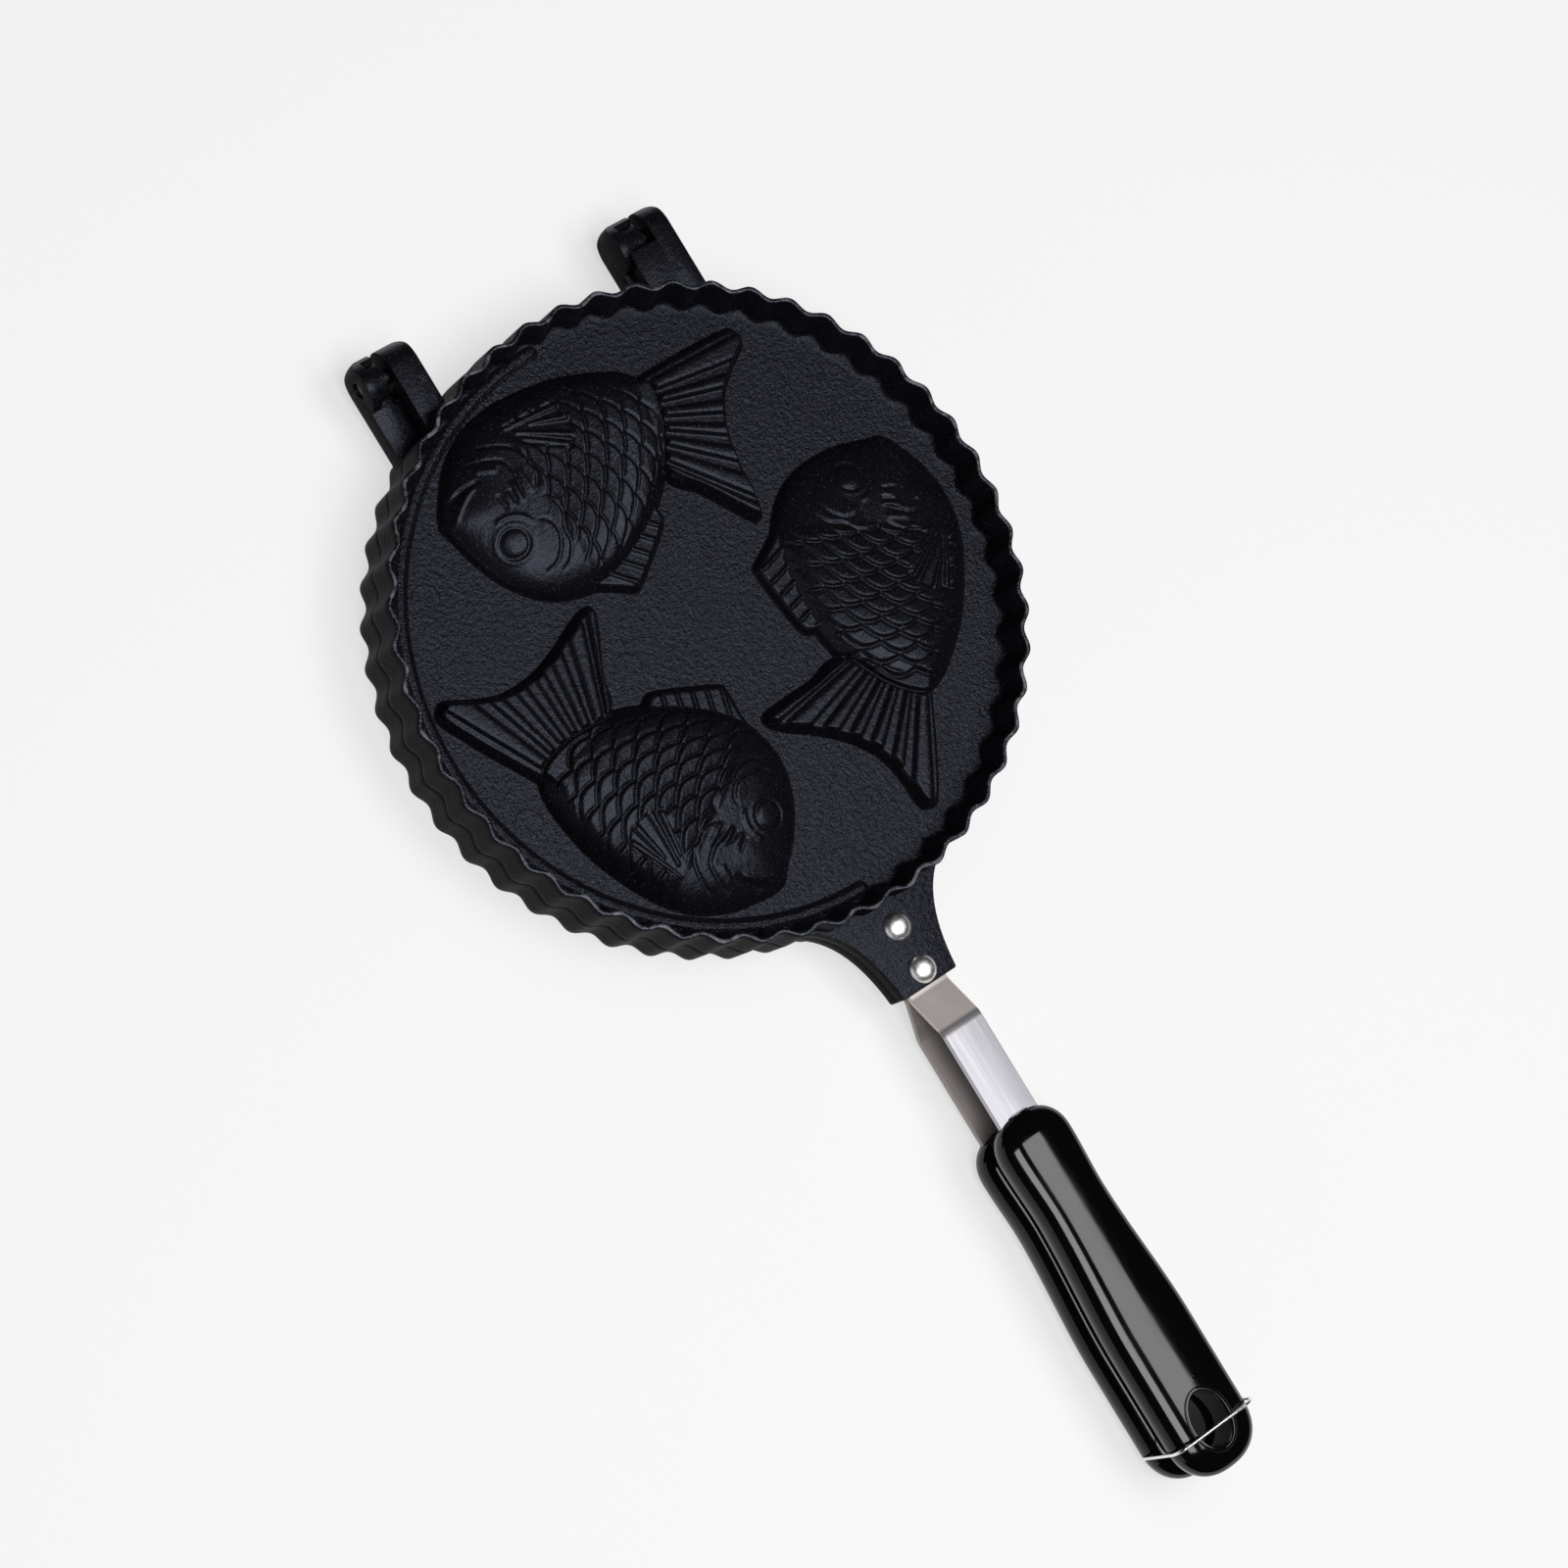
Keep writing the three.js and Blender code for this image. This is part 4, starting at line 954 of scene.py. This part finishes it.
def strip(half):
    """The flat strip, bent up from the bracket to the grip's middle."""
    middle = STRIP_LOW + STRIP_THICK / 2
    line = rounded_line([(-STRIP_START, middle), (-STRIP_BEND, middle), (-STRIP_RISEN, GRIP_OFFSET),
                         (-STRIP_END, GRIP_OFFSET)], STRIP_BEND_RADIUS)
    run = np.gradient(line, axis=0)
    run /= np.linalg.norm(run, axis=1)[:, None]
    x, up = rounded_box(STRIP_HALF, STRIP_THICK / 2, STRIP_EDGE_RADIUS).T
    rings = [np.column_stack([x, y + run_z * up, z - run_y * up]) for (y, z), (run_y, run_z) in zip(line, run)]
    # The lower strip takes the steel darkened as painted shade
    finish = STEEL if half == "upper" else SHADED_LOWER_STEEL
    crisp(piece(f"{half}_flat_strip", *sections(rings), half, finish, [f"{half}_strip"]), ROUND_ANGLE)


RIVET_PLACES = {"front": 111.2, "rear": 126.2}
# Radius and level, from the shank's foot to the dome's top
RIVET_SHAPE = [
    (0.02, 0.36), (2.3, 0.36), (2.5, 0.5), (2.5, 5.7), (4.35, 5.7), (4.55, 5.85), (4.6, 6.1), (4.55, 6.45),
    (4.35, 6.95), (3.95, 7.5), (3.35, 8.02), (2.6, 8.42), (1.75, 8.64), (0.9, 8.74), (0.02, 8.75),
]


def rivet(half, where):
    """A domed rivet through bracket and strip."""
    rings = [circle(full_turn(48), radius, z, (0, -RIVET_PLACES[where])) for radius, z in RIVET_SHAPE]
    piece(f"{half}_dome_{where}", *sections(rings), half, RIVET, [f"{half}_rivet_{where}"])


GRIP_STARTS, GRIP_END, GRIP_NOSE, GRIP_THICK = {"upper": 178.4, "lower": 181.8}, 304.5, 12.5, 6.5
GRIP_FRONT, GRIP_WAIST, GRIP_REAR = 13.1, 12.35, 14.9
HOLE_Y, HOLE_HALF = 287.7, (6.5, 9.5)
# Powers of the curves that give the section, the nose and the rear end their roundness
GRIP_SQUARE, NOSE_POWER, NOSE_THICK_POWER, REAR_POWER = 2.5, 2.4, 9, 2.3
NOSE_THICK_SHARE, NOSE_WIDE_SHARE = 0.4, 0.3


def grip_sizes(y, half):
    """Half width and half thickness of the grip at a distance from the pan's axis."""
    dome_start, nose_end = GRIP_END - GRIP_REAR, GRIP_STARTS[half] + GRIP_NOSE
    share = (y - nose_end) / (dome_start - nose_end)
    wide = GRIP_FRONT + (GRIP_WAIST - GRIP_FRONT) * smooth(0, 0.2, share)
    wide = wide + (GRIP_REAR - GRIP_WAIST) * smooth(0.18, 0.68, share)
    ahead = np.clip((nose_end - y) / GRIP_NOSE, 0, 1)
    nose = (1 - ahead ** NOSE_POWER) ** (1 / NOSE_POWER)
    nose_thick = (nose ** NOSE_THICK_POWER + NOSE_THICK_SHARE ** NOSE_THICK_POWER) ** (1 / NOSE_THICK_POWER)
    shrink = (1 - np.clip((y - dome_start) / GRIP_REAR, 0, 1) ** REAR_POWER) ** (1 / REAR_POWER)
    return wide * np.maximum(nose, NOSE_WIDE_SHARE) * shrink, GRIP_THICK * nose_thick * shrink


def grip_top(x, y):
    """The level of the grip's upper side."""
    wide, thick = grip_sizes(-y, "upper")
    share = np.clip(np.abs(x) / np.maximum(wide, 1e-6), 0, 1)
    return GRIP_OFFSET + thick * (1 - share ** GRIP_SQUARE) ** (1 / GRIP_SQUARE)


GRIP_STEPS = 96


def oval(grow):
    """The hanging hole's outline, larger by a margin."""
    turns = full_turn(GRIP_STEPS)
    return np.column_stack([(HOLE_HALF[0] + grow) * np.cos(turns), (HOLE_HALF[1] + grow) * np.sin(turns) - HOLE_Y])


PIT_PLACE, PIT_RADIUS, PIT_RISE = (2.4, -274.0), 0.95, 0.1


def pit():
    """A small ball that leaves a pit in the top of the grip."""
    middle = GRIP_OFFSET + GRIP_THICK + PIT_RISE
    return sections([circle(full_turn(20), PIT_RADIUS * math.cos(tilt), middle + PIT_RADIUS * math.sin(tilt), PIT_PLACE)
                     for tilt in np.radians(np.linspace(-85, 85, 11))])


POCKET_SIDE_GAP, POCKET_GAP, POCKET_DEPTH, HOLE_REACH = 0.25, 0.2, 10, 9


def grip(half):
    """The moulded grip with its hanging hole."""
    start = GRIP_STARTS[half]
    nose = start + GRIP_NOSE * np.linspace(0, 1, 40) ** 2
    straight = np.linspace(nose[-1], GRIP_END - GRIP_REAR, 36)[1:]
    dome = GRIP_END - GRIP_REAR + GRIP_REAR * np.sin(np.linspace(0, math.radians(88.5), 26))[1:]
    turns = full_turn(GRIP_STEPS)
    across, up = (np.sign(part) * np.abs(part) ** (2 / GRIP_SQUARE) for part in (np.cos(turns), np.sin(turns)))
    rings = []
    for y in np.concatenate([nose, straight, dome]):
        wide, thick = grip_sizes(y, half)
        rings.append(np.column_stack([wide * across, np.full(GRIP_STEPS, -y), GRIP_OFFSET + thick * up]))
    hole = prism(oval(0), GRIP_OFFSET - HOLE_REACH, GRIP_OFFSET + HOLE_REACH)
    wide, tall = STRIP_HALF + POCKET_SIDE_GAP, STRIP_THICK / 2 + POCKET_GAP
    pocket = block((-wide, -start - POCKET_DEPTH, GRIP_OFFSET - tall), (wide, -start + OVERRUN, GRIP_OFFSET + tall))
    cuts = [hole, pocket] + ([pit()] if half == "upper" else [])
    item = piece(f"{half}_handle", *carved(sections(rings), cuts), half, GRIP, [f"{half}_grip"])
    item.data.materials.append(HOLE_WALL)
    for face in item.data.polygons:
        x, y = face.center.x / MM, face.center.y / MM - PAN_Y + HOLE_Y
        face.material_index = int((x / HOLE_HALF[0]) ** 2 + (y / HOLE_HALF[1]) ** 2 < 1)
    crisp(item, ROUND_ANGLE)


# Margin round the hole and rise above the grip, from the hole outwards
RING_SHAPE = [
    (-0.02, -1.2), (-0.03, 0.0), (0.0, 0.22), (0.12, 0.35), (0.35, 0.4), (0.95, 0.4), (1.2, 0.34), (1.32, 0.15),
    (1.36, -0.3),
]


def hole_ring(half):
    """The raised ring round the hanging hole."""
    rings = []
    for grow, rise in RING_SHAPE:
        line = oval(grow)
        rings.append(np.column_stack([line, grip_top(line[:, 0], line[:, 1]) + rise]))
    points, faces = shell(rings)
    piece(f"{half}_hole_ring", points, flipped(faces), half, GRIP)


BAIL_PIVOT_Y, BAIL_BAR_Y, BAIL_SIDE, BAIL_BEND, WIRE_RADIUS = 290.8, 290.2, 15.8, 4.5, 0.5
BAIL_PIVOT_Z, BAIL_BAR_Z = 6.9, 33.1
FOOT_DEPTH, FOOT_BEND = 4.8, 1.2


def bail_wire():
    """The bail: one bright wire, its ends turned into the sides of the lower grip."""
    rise = BAIL_BAR_Z - BAIL_PIVOT_Z
    tilt = (BAIL_PIVOT_Y - BAIL_BAR_Y) / rise
    half_line = [(x, 0.0) for x in np.linspace(BAIL_SIDE - FOOT_DEPTH, BAIL_SIDE - FOOT_BEND, 3)]
    half_line += arc((BAIL_SIDE - FOOT_BEND, FOOT_BEND), FOOT_BEND, -90, 0, 6)[1:]
    half_line += arc((BAIL_SIDE - BAIL_BEND, rise - BAIL_BEND), BAIL_BEND, 0, 90, 14)
    flat = half_line + [(-x, up) for x, up in reversed(half_line)]
    path = np.array([[x, -BAIL_PIVOT_Y + up * tilt, BAIL_PIVOT_Z + up] for x, up in flat])
    run = np.gradient(path, axis=0)
    run /= np.linalg.norm(run, axis=1)[:, None]
    across = np.array([0.0, -1.0, tilt])
    across /= np.linalg.norm(across)
    turns, rings = full_turn(16), []
    for centre, along in zip(path, run):
        side = np.cross(across, along)
        rings.append(centre + WIRE_RADIUS * (np.outer(np.cos(turns), side) + np.outer(np.sin(turns), across)))
    points, faces = sections(rings)
    points[:, 1] += PAN_Y
    crisp(piece("bail_wire", points * MM, faces, "bail", WIRE, ["bail"], raw=True), ROUND_ANGLE)


PIN_CHAMFER, PIN_LIFT = 0.4, 0.3


def hinge_pins():
    """The pins, set a little below the lugs' outer faces; they ride with the upper half."""
    outer, inner = LUG_OUTER - PIN_INSET, LUG_INNER + BORE_FLOOR + PIN_LIFT
    tip = PIN_RADIUS - PIN_CHAMFER
    shape = [(outer, tip), (outer - PIN_CHAMFER, PIN_RADIUS), (inner + PIN_CHAMFER, PIN_RADIUS), (inner, tip)]
    for name, side in (("left", -1), ("right", 1)):
        rings = [circle(full_turn(40), radius, side * x, (HINGE_Y, 0))[:, [2, 0, 1]] for x, radius in shape]
        points, faces = sections(rings)
        if side > 0:
            faces = flipped(faces)
        crisp(piece(f"pin_{name}", points, faces, "upper", PIN, [f"hinge_pin_{name}"]))


# Build

for half in ("upper", "lower"):
    rim(half)
    floor(half)
    fishes(half)
    inner_face(half)
    ejector_marks(half)
    arc_rib(half)
    lugs(half)
    bracket(half)
    strip(half)
    for where in RIVET_PLACES:
        rivet(half, where)
    grip(half)
    hole_ring(half)
hinge_pins()
bail_wire()

STANDING_MATERIALS = {"strip": STEEL, "rivet": RIVET, "grip": GRIP, "pin": PIN, "bail": WIRE, "mould": COATING}
for node_name, node in frame["nodes"].items():
    kind = next(key for key in STANDING_MATERIALS if key in node_name)
    node.data.materials.clear()
    node.data.materials.append(STANDING_MATERIALS[kind])

# Stage, light and camera

FLOOR_HALF, FLOOR_DROP, FLOOR_GLOW = 20.0, 0.0004, 0.62


def white_stage():
    """A pale floor that reads white to the camera and keeps the object's shadow."""
    corners = [(x * FLOOR_HALF, y * FLOOR_HALF, -FLOOR_DROP) for x, y in ((-1, -1), (1, -1), (1, 1), (-1, 1))]
    item = mesh_object("stage_floor", corners, [(0, 1, 2, 3)])
    nodes = Nodes("pale_floor")
    nodes.shade(Base_Color=(0.9, 0.9, 0.9, 1.0), Roughness=0.9, Specular_IOR_Level=0.1)
    camera_ray, glossy_ray, clear_ray = (
        nodes.add("LightPath").outputs[f"Is {kind} Ray"] for kind in ("Camera", "Glossy", "Transmission"))
    seen = nodes.calculate("ADD", camera_ray, nodes.calculate("ADD", glossy_ray, clear_ray))
    glow = nodes.add("Emission", Color=(1, 1, 1, 1), Strength=1.0)
    blend = nodes.add("MixShader", Fac=nodes.calculate("MULTIPLY", seen, FLOOR_GLOW))
    nodes.give(blend.inputs[1], nodes.shader.outputs["BSDF"])
    nodes.give(blend.inputs[2], glow.outputs["Emission"])
    nodes.feed(nodes.tree.nodes["Material Output"], Surface=blend.outputs["Shader"])
    item.data.materials.append(nodes.material)


def lamp(name, where, aim, size, power, in_reflections):
    """A rectangular lamp that shines from one place to another."""
    data = bpy.data.lights.new(name, "AREA")
    data.shape = "RECTANGLE"
    data.size, data.size_y = size
    data.energy = power
    item = bpy.data.objects.new(name, data)
    item.location = where
    item.rotation_mode = "QUATERNION"
    item.rotation_quaternion = (Vector(where) - Vector(aim)).to_track_quat("Z", "Y")
    item.visible_glossy = in_reflections
    scene.collection.objects.link(item)


def world_light(strength):
    """A faint even light from all sides."""
    world = bpy.data.worlds.new("studio")
    scene.world = world
    world.use_nodes = True
    background = world.node_tree.nodes["Background"]
    background.inputs["Color"].default_value = (1, 1, 1, 1)
    background.inputs["Strength"].default_value = strength


AIM_POINT = Vector((2.166, PAN_Y - 56.627, 0.0)) * MM
TOWARDS_CAMERA = Vector((-0.3981, 0.0190, 0.9171)).normalized()
PICTURE_UP = Vector((0.4828, 0.8544, 0.1919))
CAMERA_DISTANCE = 1.24205
CAMERA_LENS, SENSOR_WIDTH, CLIP_NEAR, CLIP_FAR = 92.17, 36.0, 0.05, 20.0

camera_data = bpy.data.cameras.new("camera")
camera = bpy.data.objects.new("camera", camera_data)
scene.collection.objects.link(camera)
across = PICTURE_UP.cross(TOWARDS_CAMERA).normalized()
facing = Matrix((across, TOWARDS_CAMERA.cross(across), TOWARDS_CAMERA)).transposed().to_4x4()
camera.matrix_world = Matrix.Translation(AIM_POINT + TOWARDS_CAMERA * CAMERA_DISTANCE) @ facing
camera_data.lens = CAMERA_LENS
camera_data.sensor_width = SENSOR_WIDTH
camera_data.clip_start, camera_data.clip_end = CLIP_NEAR, CLIP_FAR
scene.camera = camera
scene.view_settings.view_transform = "Standard"

WORLD_STRENGTH = 0.03
# Name, place and aim in metres from the pan's axis, size, brightness, and whether it shows in reflections
LAMPS = [
    ("softbox", (0.39, -0.43, 1.5), (0.39, -0.43, 0), (0.6, 0.94), 6.0, True),
    ("second_softbox", (-0.41, -0.45, 1.5), (-0.41, -0.45, 0), (0.46, 0.9), 7.5, True),
    ("side_card", (-1.7, -0.2, 0.4), (0, -0.2, 0.1), (2.4, 0.7), 0.7, True),
    ("fill", (0.2, 0.2, 1.7), (0, 0, 0), (1.4, 1.4), 1.0, False),
]

white_stage()
world_light(WORLD_STRENGTH)
pan_axis = Vector((0, PAN_Y * MM, 0))
for name, where, aim, size, radiance, seen in LAMPS:
    lamp(name, pan_axis + Vector(where), pan_axis + Vector(aim), size, radiance * math.pi * size[0] * size[1], seen)
